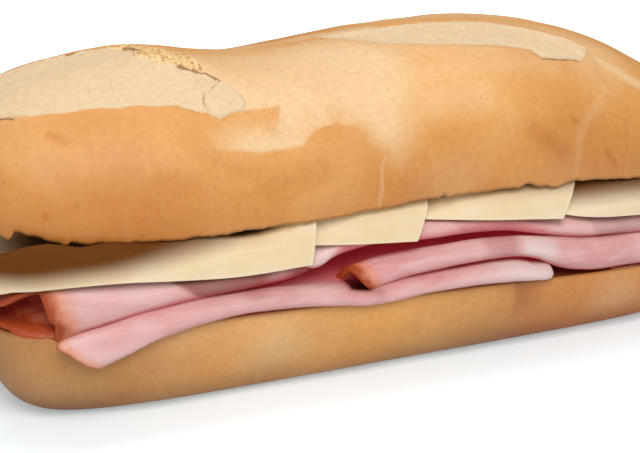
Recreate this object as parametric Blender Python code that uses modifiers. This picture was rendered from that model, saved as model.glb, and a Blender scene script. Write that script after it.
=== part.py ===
"""Submarine sandwich: a split bread roll filled with folded ham and shingled cheese slices.

X runs along the roll, -Y is the served front, +Z is up, and the base rests on z = 0.
Sizes are in millimetres and become metres where each mesh is written.
From the bottom up: the roll's lower half, four ham slices folded with their folds to the front,
four cheese slices that hang over the ham, and the roll's upper half with its two slashes.
"""
import bmesh
import bpy
import numpy as np

MM = 0.001
GAP = 0.4                       # clear space between layers that lie on each other

# The roll: half lengths are measured from a common centre, the left end being the fuller one.
ROLL_CENTRE = 5.0
TOP_HALF_LENGTHS = (117.1, 107.1)
TOP_HALF_WIDTH = 42.0
TOP_PLAN_POWERS = (3.31, 3.43)
TOP_END_POWERS = (3.41, 2.58)
TOP_SECTION_POWER = 2.3
TOP_TUCK = 1.2                  # how far the crust turns in above the cut
TOP_TUCK_HEIGHT = 7.0
CRUMB_SLOPE = 0.33              # the soft cut face sinks inwards at this slope until it lies on the filling
CRUMB_OVER_CHEESE = 0.7
CREST = ((-95, 89.7), (-61, 87.9), (-33, 82.7), (5, 85.5), (40, 86.5), (75, 82.4), (105, 71.7))
TOP_RIM = ((-107, 51.0), (-79, 48.4), (-43, 48.6), (5, 50.8), (36, 49.6), (67, 47.6), (112, 46.5))

LOW_HALF_LENGTHS = (113.0, 104.0)
LOW_HALF_WIDTH = 38.9
LOW_PLAN_POWER = 5.4
LOW_FLAT_HALF_WIDTH = 22.0
LOW_FLAT_PART = 0.34            # share of the way from the base's centre to the rim that is flat
LOW_TUCK = 1.0                  # how far the crust turns in below the cut
LOW_TUCK_FROM = 0.8
LOW_WALL_POWER = 1.9
LOW_RIM = ((-107, 26.8), (-40, 25.4), (0, 23.9), (60, 21.2), (109, 20.0))

# Slashes on the crust: centre line from its back-left end to its front-right end, widest half width, depth.
SLASHES = (
    {"start": (-112, -4), "end": (-40, -25), "half_width": 12.5, "depth": 1.6},
    {"start": (-18, 4), "end": (62, -17), "half_width": 6.5, "depth": 1.2},
)

# Ham: one slice is a sheet folded once, its fold to the front.
HAM_THICKNESS = 1.9
HAM_PRESSED = 4.2               # two leaves pressed together
HAM_OVER_RIM = 1.1              # clear space over the lower half's cut face, which isn't quite flat
HAM_PUFFED = 4.2                # extra height of a loose fold
HAM_BEND = 2.4                  # largest half depth of the fold's bend
HAM_END = 22.0                  # length over which a slice's end is rounded in plan
HAM_END_DEPTH = 7.0             # how far behind the fold an end has swung out by two thirds
INNER_FROM_FRONT = 13.0         # the layers reach their inner heights this far behind the folds
HAM_DROOP = 0.3                 # share of a loose fold's extra height by which its back edge droops

# Cheese: thin slices of one width, each hanging over the ham at the front and the back.
CHEESE_THICKNESS = 1.8
CHEESE_BACK = 40.4              # y of the back edge
CHEESE_FLAT_HALF = 32.0         # the slice lies flat out to here
CHEESE_BACK_DROP = 2.6          # how far the back edge hangs
CHEESE_FLAT_PART = 0.72         # share of the slice's own width that lies flat
CHEESE_DOUBLE = (-92.0, -82.0, 49.0, 60.0)  # where two slices start and stop lying on each other


def smooth_step(low, high, value):
    """Rise from 0 at low to 1 at high with level ends."""
    part = np.clip((value - low) / (high - low), 0.0, 1.0)
    return part * part * (3.0 - 2.0 * part)


def smooth_line(points, x):
    """Curve through (x, value) points: cubic pieces whose slopes come from the neighbouring points."""
    knots = np.array([p[0] for p in points], float)
    values = np.array([p[1] for p in points], float)
    slopes = np.gradient(values, knots)
    x = np.clip(x, knots[0], knots[-1])
    piece = np.clip(np.searchsorted(knots, x) - 1, 0, len(knots) - 2)
    step = knots[piece + 1] - knots[piece]
    part = (x - knots[piece]) / step
    rise = part * part * (3.0 - 2.0 * part)
    bow = slopes[piece] * part * (1.0 - part) ** 2 - slopes[piece + 1] * part * part * (1.0 - part)
    return values[piece] * (1.0 - rise) + values[piece + 1] * rise + step * bow


def smooth_rows(keys, steps):
    """Curve through each row's key points, steps[k] points on span k, slopes weighted by chord length."""
    chord = keys[:, 1:] - keys[:, :-1]
    length = np.linalg.norm(chord, axis=2, keepdims=True)
    slope = chord / length
    inner = (slope[:, :-1] * length[:, 1:] + slope[:, 1:] * length[:, :-1]) / (length[:, 1:] + length[:, :-1])
    tangent = np.concatenate([slope[:, :1], inner, slope[:, -1:]], axis=1)
    rows = []
    for span, count in enumerate(steps):
        part = (np.arange(count) / count)[None, :, None]
        rise = part * part * (3.0 - 2.0 * part)
        reach = length[:, span:span + 1]
        rows.append(keys[:, span:span + 1] * (1.0 - rise) + keys[:, span + 1:span + 2] * rise
                    + reach * tangent[:, span:span + 1] * part * (1.0 - part) ** 2
                    - reach * tangent[:, span + 1:span + 2] * part * part * (1.0 - part))
    rows.append(keys[:, -1:])
    return np.concatenate(rows, axis=1)


def squareness(part, power):
    """Height of a superellipse of half height 1 at a fraction of its half length."""
    return (1.0 - np.clip(np.abs(part), 0.0, 1.0) ** power) ** (1.0 / power)


def low_plan(x):
    """Fraction of the lower half's width that is left at x."""
    span = x - ROLL_CENTRE
    half = np.where(span < 0, *LOW_HALF_LENGTHS)
    return squareness(span / half, LOW_PLAN_POWER)


# ---------------------------------------------------------------- how the layers lie on each other

# Where each slice's layer builds up and where it runs out, as (from, to) of a smooth change along x.
LAYER_RISE = {"ham_1": (-106.0, -92.0), "ham_3": (-43.0, -22.0), "ham_4": (-50.0, -29.0)}
LAYER_FALL = {"ham_1": (41.0, 60.0), "ham_2": (26.0, 50.0)}
PUFFED_LEFT = (-58.0, -26.0)     # ham_2 is a loose fold left of this change
PUFFED_RIGHT = (24.0, 58.0)      # ham_3 and ham_4 are loose folds right of this one


def layer_heights(x):
    """Bottom and top height of each ham slice inside the sandwich, and the top of the pile.
    Each slice lies on what is under it at x, and loose folds are thicker."""
    thick_2 = HAM_PRESSED + HAM_PUFFED * (1.0 - smooth_step(*PUFFED_LEFT, x))
    thick_34 = HAM_PRESSED + HAM_PUFFED * smooth_step(*PUFFED_RIGHT, x)
    rise = {name: smooth_step(*LAYER_RISE[name], x) for name in LAYER_RISE}
    fall = {name: 1.0 - smooth_step(*LAYER_FALL[name], x) for name in LAYER_FALL}
    bottom_1 = smooth_line(LOW_RIM, x) + HAM_OVER_RIM
    bottom_3 = bottom_1 + rise["ham_1"] * fall["ham_1"] * (HAM_PRESSED + GAP)
    bottom_2 = bottom_3 + rise["ham_3"] * (thick_34 + GAP)
    bottom_4 = bottom_2 + fall["ham_2"] * (thick_2 + GAP)
    heights = {
        "ham_1": (bottom_1, bottom_1 + HAM_PRESSED),
        "ham_2": (bottom_2, bottom_2 + thick_2),
        "ham_3": (bottom_3, bottom_3 + thick_34),
        "ham_4": (bottom_4, bottom_4 + thick_34),
    }
    return heights, bottom_4 + rise["ham_4"] * (thick_34 + GAP)


def filling_top(x):
    """Height of the top of the cheese, one slice on the ham or two where they overlap."""
    start, started, stop, stopped = CHEESE_DOUBLE
    double = smooth_step(start, started, x) * (1.0 - smooth_step(stop, stopped, x))
    _layers, pile = layer_heights(x)
    return pile + 0.8 * GAP + CHEESE_THICKNESS + double * (CHEESE_THICKNESS + 1.5 * GAP)


# Each ham slice. ends: its fold's ends in x. reach: how much further each end swings out behind the fold.
# closed: how much of each end is pinched shut. slant: how far the fold's top leans out at the left end.
# hangs: the change from a fold that lies on the rim to one that hangs over it. late: the change to an
# upper leaf that climbs to its inner height late. back: y of the lower and upper leaf's back edges.
# front, low, high: lines along the fold, of its front and its lowest and highest points.
# inside: the change to a fold that has drawn back between its neighbours and takes their heights.
HAM_SLICES = {
    "ham_1": {
        "ends": (-84.6, 40.5), "reach": (-3.0, 0.0), "closed": (0.0, 5.0), "slant": 7.0,
        "hangs": (-63.0, -78.0), "late": (24.0, 34.0), "back": (38.0, 37.0),
        "front": ((-90, -40.0), (-85, -41.0), (-78, -41.8), (-65, -41.9), (40, -41.9)),
        "low": ((-85, 19.8), (-80, 21.9), (-65, 26.0), (-48, 28.0), (-28, 26.6), (-12, 24.8), (10, 24.7),
                (28, 23.4), (36, 22.9), (40, 23.6)),
        "high": ((-85, 26.9), (-78, 29.2), (-65, 31.6), (-48, 32.7), (-28, 31.2), (-20, 29.0), (-12, 27.6),
                 (10, 28.5), (26, 29.0), (31, 28.4), (36, 26.5), (40, 24.4)),
        "inside": None,
    },
    "ham_2": {
        "ends": (-93.5, 26.0), "reach": (-9.5, 0.0), "closed": (0.0, 8.0), "slant": 0.0,
        "hangs": None, "late": (-55.0, -35.0), "back": (36.8, 35.6),
        "front": ((-94, -35.4), (-84, -38.2), (-74, -38.8), (-60, -39.2), (-40, -38.8), (-30, -34.6),
                  (-24, -32.5), (-18, -29.5), (-12, -28.0), (26, -27.0)),
        "low": ((-94, 29.2), (-84, 30.5), (-74, 31.6), (-60, 32.9), (-45, 33.6), (-28, 32.9),
                (-21, 34.6), (-15, 36.0)),
        "high": ((-94, 38.0), (-84, 38.7), (-60, 38.8), (-40, 38.0), (-28, 35.6), (-15, 37.8)),
        "inside": (-30.0, -22.0),
    },
    "ham_3": {
        "ends": (-13.5, 97.0), "reach": (-8.5, 4.0), "closed": (0.0, 0.0), "slant": 0.0,
        "hangs": None, "late": None, "back": (37.6, 36.2),
        "front": ((-14, -40.6), (60, -40.8), (78, -39.0), (90, -35.6), (97, -32.0)),
        "low": ((-14, 29.7), (-4, 29.9), (12, 30.2), (26, 30.4), (31, 30.2), (36, 28.8), (43, 25.2),
                (52, 22.8), (66, 21.9), (97, 21.3)),
        "high": ((-14, 36.4), (-8, 37.1), (6, 36.9), (18, 37.2), (30, 35.9), (42, 33.2), (54, 30.5),
                 (68, 29.8), (97, 29.5)),
        "inside": None,
    },
    "ham_4": {
        "ends": (-28.5, 93.0), "reach": (0.0, 4.0), "closed": (2.5, 0.0), "slant": 0.0,
        "hangs": None, "late": None, "back": (36.0, 34.6),
        "front": ((-28, -38.2), (-15, -38.8), (60, -38.9), (78, -37.4), (93, -31.0)),
        "low": ((-28, 38.9), (-25, 38.7), (-20, 38.6), (-13, 39.2), (4, 38.6), (18, 39.1), (28, 38.0),
                (36, 35.8), (44, 33.6), (54, 31.8), (68, 30.5), (93, 30.1)),
        "high": ((-28, 39.6), (-20, 41.2), (-12, 42.0), (2, 42.0), (22, 41.4), (42, 38.3), (60, 37.8),
                 (93, 37.0)),
        "inside": None,
    },
}


def change(limits, x):
    """A slice's smooth change along x, or none."""
    return smooth_step(*limits, x) if limits else np.zeros_like(x)


def ham_surface(name, stations, steps):
    """Middle surface of a folded slice: at each x a centre line from the lower leaf's back edge, forward to
    the bread's rim, down or up round the fold, and back along the upper leaf."""
    slice_ = HAM_SLICES[name]
    left, right = slice_["ends"]
    half = HAM_THICKNESS / 2.0
    x = left + (right - left) * stations
    front = smooth_line(slice_["front"], x)
    inside = change(slice_["inside"], x)
    hang = change(slice_["hangs"], x)
    own, _pile = layer_heights(x)
    low = smooth_line(slice_["low"], x) * (1.0 - inside) + own[name][0] * inside
    high = smooth_line(slice_["high"], x) * (1.0 - inside) + (own[name][1] - GAP) * inside
    # a closed end rounds off: the fold's height shrinks towards two pressed leaves
    close_left, close_right = slice_["closed"]
    open_part = np.ones_like(x)
    if close_left:
        open_part = open_part * squareness(np.clip(1.0 - (x - left) / close_left, 0.0, 1.0), 2.0)
    if close_right:
        open_part = open_part * squareness(np.clip(1.0 - (right - x) / close_right, 0.0, 1.0), 2.0)
    middle = (low + high) / 2.0
    height = np.maximum(2.0 * HAM_THICKNESS + 0.1, (high - low) * (0.6 + 0.4 * open_part))
    low_mid = middle - height / 2.0 + half
    high_mid = middle + height / 2.0 - half
    edge = front + 2.0 * (1.0 - open_part) + half
    bend = np.minimum((high_mid - low_mid) / 2.0, HAM_BEND)
    bend = bend * (1.0 - hang) + (half + 0.1) * hang
    near_left = 1.0 - smooth_step(0.0, HAM_END, x - left)
    near_right = 1.0 - smooth_step(0.0, HAM_END, right - x)
    reach = slice_["reach"][0] * near_left + slice_["reach"][1] * near_right

    def swing(y):
        """Share of the end's reach at y, rising from none at the fold."""
        return 1.0 - np.exp(-np.maximum(y - edge - bend, 0.0) / HAM_END_DEPTH)

    def leaf(y, side):
        """Centre height of the lower (0) or upper (1) leaf inside the sandwich."""
        layers, _pile = layer_heights(x + reach * swing(y))
        return layers[name][side] + (half if side == 0 else -half)

    on_rim = 0.3 + 0.7 * hang
    settled = 0.85 - 0.5 * np.maximum(hang, change(slice_["late"], x))
    plan = low_plan(x + reach)
    back_low = slice_["back"][0] * plan + 0.4 * np.sin(x * 0.21)
    back_high = slice_["back"][1] * plan + 0.5 * np.sin(x * 0.16 + 1.7)
    ys = [back_low, back_low - 9.0, edge + 10.0]
    zs = [leaf(y, 0) for y in ys]
    ys += [edge + 2.0 * bend + 1.6 - 0.4 * hang, edge + (1.0 + 0.9 * hang) * bend]
    ys += [edge, edge + bend, edge + 7.5]
    zs += [
        low_mid + (leaf(ys[3], 0) - low_mid) * on_rim,
        low_mid + 1.3 * hang,
        (low_mid + high_mid) / 2.0 - 2.0 * hang,
        high_mid,
        high_mid + (leaf(ys[7], 1) - high_mid) * settled,
    ]
    upper = [edge + INNER_FROM_FRONT, back_high - 9.0, back_high]
    ys += upper
    zs += [leaf(y, 1) for y in upper]
    zs[-1] = zs[-1] - HAM_DROOP * (own[name][1] - own[name][0] - HAM_PRESSED)
    line = smooth_rows(np.stack([np.stack(ys, axis=1), np.stack(zs, axis=1)], axis=2), steps)
    along, up = line[:, :, 0], line[:, :, 1]
    swung = 1.0 - np.exp(-np.maximum(along - (edge + bend)[:, None], 0.0) / HAM_END_DEPTH)
    rise = np.clip((up - low_mid[:, None]) / (high_mid - low_mid)[:, None], 0.0, 1.0)
    slant = slice_["slant"] * near_left[:, None] * rise * (1.0 - swung)
    return np.stack([x[:, None] + reach[:, None] * swung - slant, along, up], axis=2)


# Each cheese slice. ends: its front edge's ends in x. over: the change from one layer to two, where it lies
# on its right-hand neighbour. lean: how far its sides lean over where it hangs. edge: its front edge as
# (x, y, z) points, drawn back where the left-hand neighbour covers it.
CHEESE_SLICES = {
    "cheese_1": {"ends": (-105.5, -30.0), "over": (-88.0, -78.0), "lean": 3.0,
                 "edge": ((-105, -29.5, 35.8), (-98, -34.5, 38.0), (-90, -37.8, 39.0), (-78, -40.3, 39.4),
                          (-66, -41.0, 38.6), (-50, -41.1, 37.4), (-30, -41.1, 37.6))},
    "cheese_2": {"ends": (-76.0, -1.0), "over": (-27.0, -17.0), "lean": 5.5,
                 "edge": ((-76, -33.0, 41.8), (-42, -33.0, 41.8), (-30, -36.8, 41.2), (-20, -39.6, 40.9),
                          (-1, -41.1, 39.6))},
    "cheese_3": {"ends": (-16.0, 42.0), "over": (5.0, 14.0), "lean": 6.5,
                 "edge": ((-16, -30.5, 45.4), (-8, -31.0, 45.2), (1, -36.0, 43.7), (12, -39.3, 42.9),
                          (42, -41.1, 39.7))},
    "cheese_4": {"ends": (15.0, 86.0), "over": None, "lean": 5.0,
                 "edge": ((15, -30.5, 44.2), (32, -32.0, 43.6), (42, -37.0, 40.2), (67, -40.2, 37.2),
                          (86, -36.5, 36.0))},
}


def cheese_surface(name, stations, across):
    """Middle surface of a hanging slice: flat on the pile, then a curve down over the ham's folds.
    across runs -1..1 from the front edge to the back edge, flat within CHEESE_FLAT_PART."""
    slice_ = CHEESE_SLICES[name]
    left, right = slice_["ends"]
    front_x = left + (right - left) * stations[:, None]
    flat = np.clip(across / CHEESE_FLAT_PART, -1.0, 1.0)[None, :]
    hang = np.clip((np.abs(across) - CHEESE_FLAT_PART) / (1.0 - CHEESE_FLAT_PART), 0.0, 1.0)[None, :]
    front_side = (across < 0)[None, :]
    # a slice lies a little askew, so its sides lean over where it hangs
    lean = slice_["lean"] * np.where(front_side, 1.0 - hang, 1.0)
    x = front_x + lean
    edge_y = smooth_line([(p[0], p[1]) for p in slice_["edge"]], front_x)
    edge_z = smooth_line([(p[0], p[2]) for p in slice_["edge"]], front_x)
    end_y = np.where(front_side, edge_y, np.minimum(-edge_y - 0.7, CHEESE_BACK * low_plan(x)))
    start_y = np.sign(across)[None, :] * np.minimum(CHEESE_FLAT_HALF, np.abs(end_y) - 4.0)
    _layers, pile = layer_heights(x)
    level = pile + CHEESE_THICKNESS / 2.0 + 0.8 * GAP
    if slice_["over"]:
        level = level + smooth_step(*slice_["over"], x) * (CHEESE_THICKNESS + 1.5 * GAP)
    back_drop = CHEESE_BACK_DROP * smooth_step(CHEESE_FLAT_HALF + 2.0, CHEESE_BACK - 1.4, end_y)
    end_z = np.where(front_side, np.minimum(edge_z, level), level - back_drop)
    shoulder_y = end_y + np.where(front_side, 0.8, -0.5)
    y = start_y * (1 - hang) ** 2 + 2 * shoulder_y * hang * (1 - hang) + end_y * hang ** 2
    z = level * (1 - hang) ** 2 + 2 * level * hang * (1 - hang) + end_z * hang ** 2
    y = np.where(hang == 0.0, start_y * np.abs(flat), y)
    return np.stack([x, y, z], axis=2)


# ---------------------------------------------------------------- bread

def slash_depth(x, y):
    """How far the crust is cut back at (x, y): a lens round each slash's centre line."""
    depth = np.zeros_like(x)
    for slash in SLASHES:
        start = np.array(slash["start"], float)
        run = np.array(slash["end"], float) - start
        length = np.linalg.norm(run)
        run = run / length
        along = (x - start[0]) * run[0] + (y - start[1]) * run[1]
        aside = (y - start[1]) * run[0] - (x - start[0]) * run[1]
        width = slash["half_width"] * np.sqrt(np.clip(np.sin(np.pi * along / length), 0.0, 1.0))
        width = np.where((along > 0) & (along < length), width, 0.0)
        depth = depth + slash["depth"] * smooth_step(0.0, 3.0, width - np.abs(aside))
    return depth


def cut_height(x, rim, inward):
    """Height of the upper half's cut face: it sinks inwards from the rim until it lies on the filling."""
    sunk = rim - CRUMB_SLOPE * inward
    return np.maximum(np.minimum(filling_top(x) + CRUMB_OVER_CHEESE, rim), sunk)


def upper_half_point(along, ring):
    """Point of the upper half: along runs -1..1 from end to end, ring runs round the section,
    0..pi over the crust from the front rim and pi..2pi back across the cut face."""
    half = np.where(along < 0, *TOP_HALF_LENGTHS)
    plan = squareness(along, np.where(along < 0, *TOP_PLAN_POWERS))
    end = squareness(along, np.where(along < 0, *TOP_END_POWERS))
    x = ROLL_CENTRE + along * half
    rim = smooth_line(TOP_RIM, x)
    side = -np.cos(ring)
    rise = np.sin(ring)
    crust = rise >= 0
    power = 2.0 / TOP_SECTION_POWER
    swell_y = np.sign(side) * np.abs(side) ** power
    swell_z = np.abs(rise) ** power
    inward = np.minimum(TOP_HALF_WIDTH * plan * (1.0 - np.abs(side)), half * (1.0 - np.abs(along)))
    z = np.where(crust, rim + (smooth_line(CREST, x) - rim) * end * swell_z, cut_height(x, rim, inward))
    tuck = np.where(crust, np.clip(1.0 - (z - rim) / TOP_TUCK_HEIGHT, 0.0, 1.0), 1.0) ** 2
    y = TOP_HALF_WIDTH * plan * np.where(crust, swell_y, side) * (1.0 - tuck * TOP_TUCK / TOP_HALF_WIDTH)
    x = ROLL_CENTRE + (x - ROLL_CENTRE) * (1.0 - tuck * TOP_TUCK / TOP_HALF_LENGTHS[0])
    z = z - np.where(crust & (z > rim + 12.0), slash_depth(x, y), 0.0)
    return np.stack([x, y, z], axis=-1)


def lower_half_point(level, around):
    """Point of the lower half: level runs 0..1 from the base's centre out over its flat part and up the
    wall to the rim, then 1..2 back in over the cut face. around is the angle in plan."""
    wall = np.clip((level - LOW_FLAT_PART) / (1.0 - LOW_FLAT_PART), 0.0, 1.0) * np.pi / 2.0
    power = 2.0 / LOW_WALL_POWER
    width = LOW_FLAT_HALF_WIDTH + (LOW_HALF_WIDTH - LOW_FLAT_HALF_WIDTH) * np.sin(wall) ** power
    width = width - LOW_TUCK * np.clip((level - LOW_TUCK_FROM) / (1.0 - LOW_TUCK_FROM), 0.0, 1.0) ** 2
    inset = LOW_HALF_WIDTH - width
    shrink = np.where(level < LOW_FLAT_PART, level / LOW_FLAT_PART, np.where(level > 1.0, 2.0 - level, 1.0))
    cos_a, sin_a = np.cos(around), np.sin(around)
    square = (np.abs(cos_a) ** LOW_PLAN_POWER + np.abs(sin_a) ** LOW_PLAN_POWER) ** (-1.0 / LOW_PLAN_POWER)
    half = np.where(cos_a < 0, *LOW_HALF_LENGTHS) - inset
    x = ROLL_CENTRE + half * cos_a * square * shrink
    y = width * sin_a * square * shrink
    z = smooth_line(LOW_RIM, x) * np.where(level > 1.0, 1.0, 1.0 - np.cos(wall) ** power)
    return np.stack([x, y, z], axis=-1)


# ---------------------------------------------------------------- objects

def make_material(name, colour, roughness):
    """A plain Principled material."""
    material = bpy.data.materials.new(name)
    material.use_nodes = True
    shader = material.node_tree.nodes["Principled BSDF"]
    shader.inputs["Base Color"].default_value = (*colour, 1.0)
    shader.inputs["Roughness"].default_value = roughness
    shader.inputs["Metallic"].default_value = 0.0
    return material


def add_object(name, mesh_edit, material, collection):
    """Write a BMesh, built in millimetres, as an object in metres."""
    bmesh.ops.scale(mesh_edit, vec=(MM, MM, MM), verts=mesh_edit.verts)
    bmesh.ops.recalc_face_normals(mesh_edit, faces=mesh_edit.faces)
    mesh = bpy.data.meshes.new(name)
    mesh_edit.to_mesh(mesh)
    mesh_edit.free()
    mesh.materials.append(material)
    mesh.shade_smooth()
    piece = bpy.data.objects.new(name, mesh)
    collection.objects.link(piece)
    return piece


def add_sheet(name, surface, thickness, material, collection):
    """A grid laid on a surface of (rows, columns) points and thickened to both sides."""
    rows, columns = surface.shape[:2]
    mesh_edit = bmesh.new()
    bmesh.ops.create_grid(mesh_edit, x_segments=rows - 1, y_segments=columns - 1, size=1.0)
    for vertex in mesh_edit.verts:
        row = round((vertex.co.x + 1.0) / 2.0 * (rows - 1))
        column = round((vertex.co.y + 1.0) / 2.0 * (columns - 1))
        vertex.co = surface[row, column]
    piece = add_object(name, mesh_edit, material, collection)
    solidify = piece.modifiers.new("thickness", "SOLIDIFY")
    solidify.thickness = thickness * MM
    solidify.offset = 0.0
    solidify.use_even_offset = True
    return piece


def add_upper_half(collection):
    """A sphere with its poles turned to the roll's ends, moved out to the upper half's form."""
    mesh_edit = bmesh.new()
    bmesh.ops.create_uvsphere(mesh_edit, u_segments=26, v_segments=40, radius=1.0)
    for vertex in mesh_edit.verts:
        ring = np.arctan2(vertex.co.y, vertex.co.x)
        vertex.co = upper_half_point(np.float64(vertex.co.z), np.float64(ring))
    material = make_material("crust_top", (0.74, 0.42, 0.17), 0.6)
    return add_object("bread_top", mesh_edit, material, collection)


def add_lower_half(collection):
    """A sphere with its poles at the base and the cut face, moved out to the lower half's form.
    The first ring closes the flat base and the rim ring lies on the edge of the cut."""
    rings, rim_ring = 12, 8
    mesh_edit = bmesh.new()
    bmesh.ops.create_uvsphere(mesh_edit, u_segments=44, v_segments=rings, radius=1.0)
    for vertex in mesh_edit.verts:
        ring = rings * (1.0 - np.arccos(np.clip(vertex.co.z, -1.0, 1.0)) / np.pi)
        level = np.interp(ring, (0, 1, rim_ring, rings), (0.0, LOW_FLAT_PART, 1.0, 2.0))
        around = np.arctan2(vertex.co.y, vertex.co.x)
        vertex.co = lower_half_point(level, np.float64(around))
    material = make_material("crust_base", (0.62, 0.33, 0.13), 0.6)
    return add_object("bread_bottom", mesh_edit, material, collection)


def add_ham(name, collection):
    """One folded slice, with closer stations at its ends and closer points round the fold."""
    even = np.linspace(0.0, 1.0, 19)
    stations = 0.65 * even + 0.35 * (1.0 - np.cos(np.pi * even)) / 2.0
    surface = ham_surface(name, stations, (1, 1, 1, 1, 1, 2, 2, 1, 1, 1, 1))
    material = make_material(name, (0.72, 0.38, 0.37), 0.45)
    return add_sheet(name, surface, HAM_THICKNESS, material, collection)


def add_cheese(name, collection):
    """One slice, with closer lines where it hangs."""
    across = np.array((-1.0, -0.93, -0.86, -0.79, -0.72, 0.72, 0.81, 0.9, 1.0))
    surface = cheese_surface(name, np.linspace(0.0, 1.0, 14), across)
    material = make_material(name, (0.86, 0.72, 0.46), 0.4)
    return add_sheet(name, surface, CHEESE_THICKNESS, material, collection)


def build():
    for old in list(bpy.data.objects):
        bpy.data.objects.remove(old, do_unlink=True)
    collection = bpy.data.collections.new("submarine_sandwich")
    bpy.context.scene.collection.children.link(collection)
    add_lower_half(collection)
    for name in HAM_SLICES:
        add_ham(name, collection)
    for name in CHEESE_SLICES:
        add_cheese(name, collection)
    add_upper_half(collection)


build()
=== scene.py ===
"""A submarine sandwich: a split roll with four folded ham slices and four cheese slices between its halves.

X runs along the roll, -Y is the served front, +Z is up and the base rests on z = 0.
Lengths are in millimetres until a mesh is written, which is in metres.
"""

import bpy
import numpy as np
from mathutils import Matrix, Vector


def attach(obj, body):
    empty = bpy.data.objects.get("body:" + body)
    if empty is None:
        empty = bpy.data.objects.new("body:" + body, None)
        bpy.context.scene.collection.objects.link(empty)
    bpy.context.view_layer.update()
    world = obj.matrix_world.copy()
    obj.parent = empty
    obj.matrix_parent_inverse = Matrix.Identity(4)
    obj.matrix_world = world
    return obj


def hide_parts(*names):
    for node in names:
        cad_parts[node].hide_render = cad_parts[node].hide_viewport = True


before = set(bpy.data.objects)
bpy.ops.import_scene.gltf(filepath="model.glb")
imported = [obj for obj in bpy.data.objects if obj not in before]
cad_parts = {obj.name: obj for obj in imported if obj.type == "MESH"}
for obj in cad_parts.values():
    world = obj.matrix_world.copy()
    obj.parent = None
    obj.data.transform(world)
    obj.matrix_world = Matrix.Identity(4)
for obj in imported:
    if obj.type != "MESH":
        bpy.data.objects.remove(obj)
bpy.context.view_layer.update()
MM = 0.001


# ---------------------------------------------------------------- lower half of the roll
# The lower half of a soft wheat roll: a thin baked crust round a white crumb, split lengthways with a knife.
# It stands on the flat that it was baked on, and its open cut face carries the filling.

ROLL_CENTRE = 5.0
LOW_HALF_LENGTHS = (113.0, 104.0)
LOW_HALF_WIDTH = 38.9
LOW_PLAN_POWER = 5.4
LOW_FLAT_HALF_WIDTH = 22.0
LOW_FLAT_PART = 0.34
LOW_TUCK = 1.0
LOW_TUCK_FROM = 0.8
LOW_WALL_POWER = 1.9
LOW_RIM = ((-107, 26.8), (-40, 25.4), (0, 23.9), (60, 21.2), (109, 20.0))
LOW_WALL_LENGTH = 50.0          # about the way up the wall from the base's flat to the rim
LOW_COLUMNS = 560
LOW_FRONT_SHARE = 0.66          # of the columns, for the served front is seen closest
CRUST_EDGE = 1.3                # width of the browned line round a cut face
CRUMB_SINK = 0.35               # the soft crumb lies this much under its crust's edge


def smooth_step(low, high, value):
    """Rise from 0 at low to 1 at high with level ends."""
    part = np.clip((value - low) / (high - low), 0.0, 1.0)
    return part * part * (3.0 - 2.0 * part)


def window(x, rise, risen, fall, fallen):
    """Rise from 0 at rise to 1 at risen, and back from 1 at fall to 0 at fallen."""
    return smooth_step(rise, risen, x) * smooth_step(fallen, fall, x)


def running(steps, axis=0):
    """The running sum of steps along an axis, from nought."""
    return np.insert(np.cumsum(steps, axis=axis), 0, 0.0, axis=axis)


def smooth_line(points, x):
    """Curve through (x, value) points: cubic pieces whose slopes come from the neighbouring points."""
    knots = np.array([p[0] for p in points], float)
    values = np.array([p[1] for p in points], float)
    slopes = np.gradient(values, knots)
    x = np.clip(x, knots[0], knots[-1])
    piece = np.clip(np.searchsorted(knots, x) - 1, 0, len(knots) - 2)
    step = knots[piece + 1] - knots[piece]
    part = (x - knots[piece]) / step
    rise = part * part * (3.0 - 2.0 * part)
    bow = slopes[piece] * part * (1.0 - part) ** 2 - slopes[piece + 1] * part * part * (1.0 - part)
    return values[piece] * (1.0 - rise) + values[piece + 1] * rise + step * bow


def squareness(part, power):
    """Height of a superellipse of half height 1 at a fraction of its half length."""
    return (1.0 - np.clip(np.abs(part), 0.0, 1.0) ** power) ** (1.0 / power)


def lumps(points, size, seed, waves=12):
    """Smooth random relief of about -1..1: the sum of plane waves near one length, in seeded directions."""
    draw = np.random.default_rng(seed)
    ways = draw.normal(size=(waves, 3))
    ways /= np.linalg.norm(ways, axis=1, keepdims=True)
    lengths = size * draw.uniform(0.7, 1.5, waves)
    starts = draw.uniform(0.0, 2.0 * np.pi, waves)
    total = np.zeros(points.shape[:-1])
    for way, length, start in zip(ways, lengths, starts):
        total += np.sin(2.0 * np.pi * (points @ way) / length + start)
    return total / np.sqrt(waves / 2.0) / 1.6


def grid_normals(points, wrapped):
    """Unit normals of a (rows, columns, 3) grid: the cross product of its two central differences."""
    along = np.gradient(points, axis=0)
    if wrapped:
        across = np.roll(points, -1, axis=1) - np.roll(points, 1, axis=1)
    else:
        across = np.gradient(points, axis=1)
    normal = np.cross(along, across)
    return normal / np.maximum(np.linalg.norm(normal, axis=2, keepdims=True), 1e-12)


def write_piece(name, points, faces, material, fields):
    """One mesh object from points in millimetres, lists of faces, and a named value at each point."""
    mesh = bpy.data.meshes.new(name)
    mesh.from_pydata((points * MM).tolist(), [], faces)
    for field, values in fields.items():
        mesh.attributes.new(field, "FLOAT", "POINT").data.foreach_set("value", values.astype(np.float32))
    mesh.materials.append(material)
    mesh.shade_smooth()
    piece = bpy.data.objects.new(name, mesh)
    bpy.context.scene.collection.objects.link(piece)
    return piece


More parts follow.
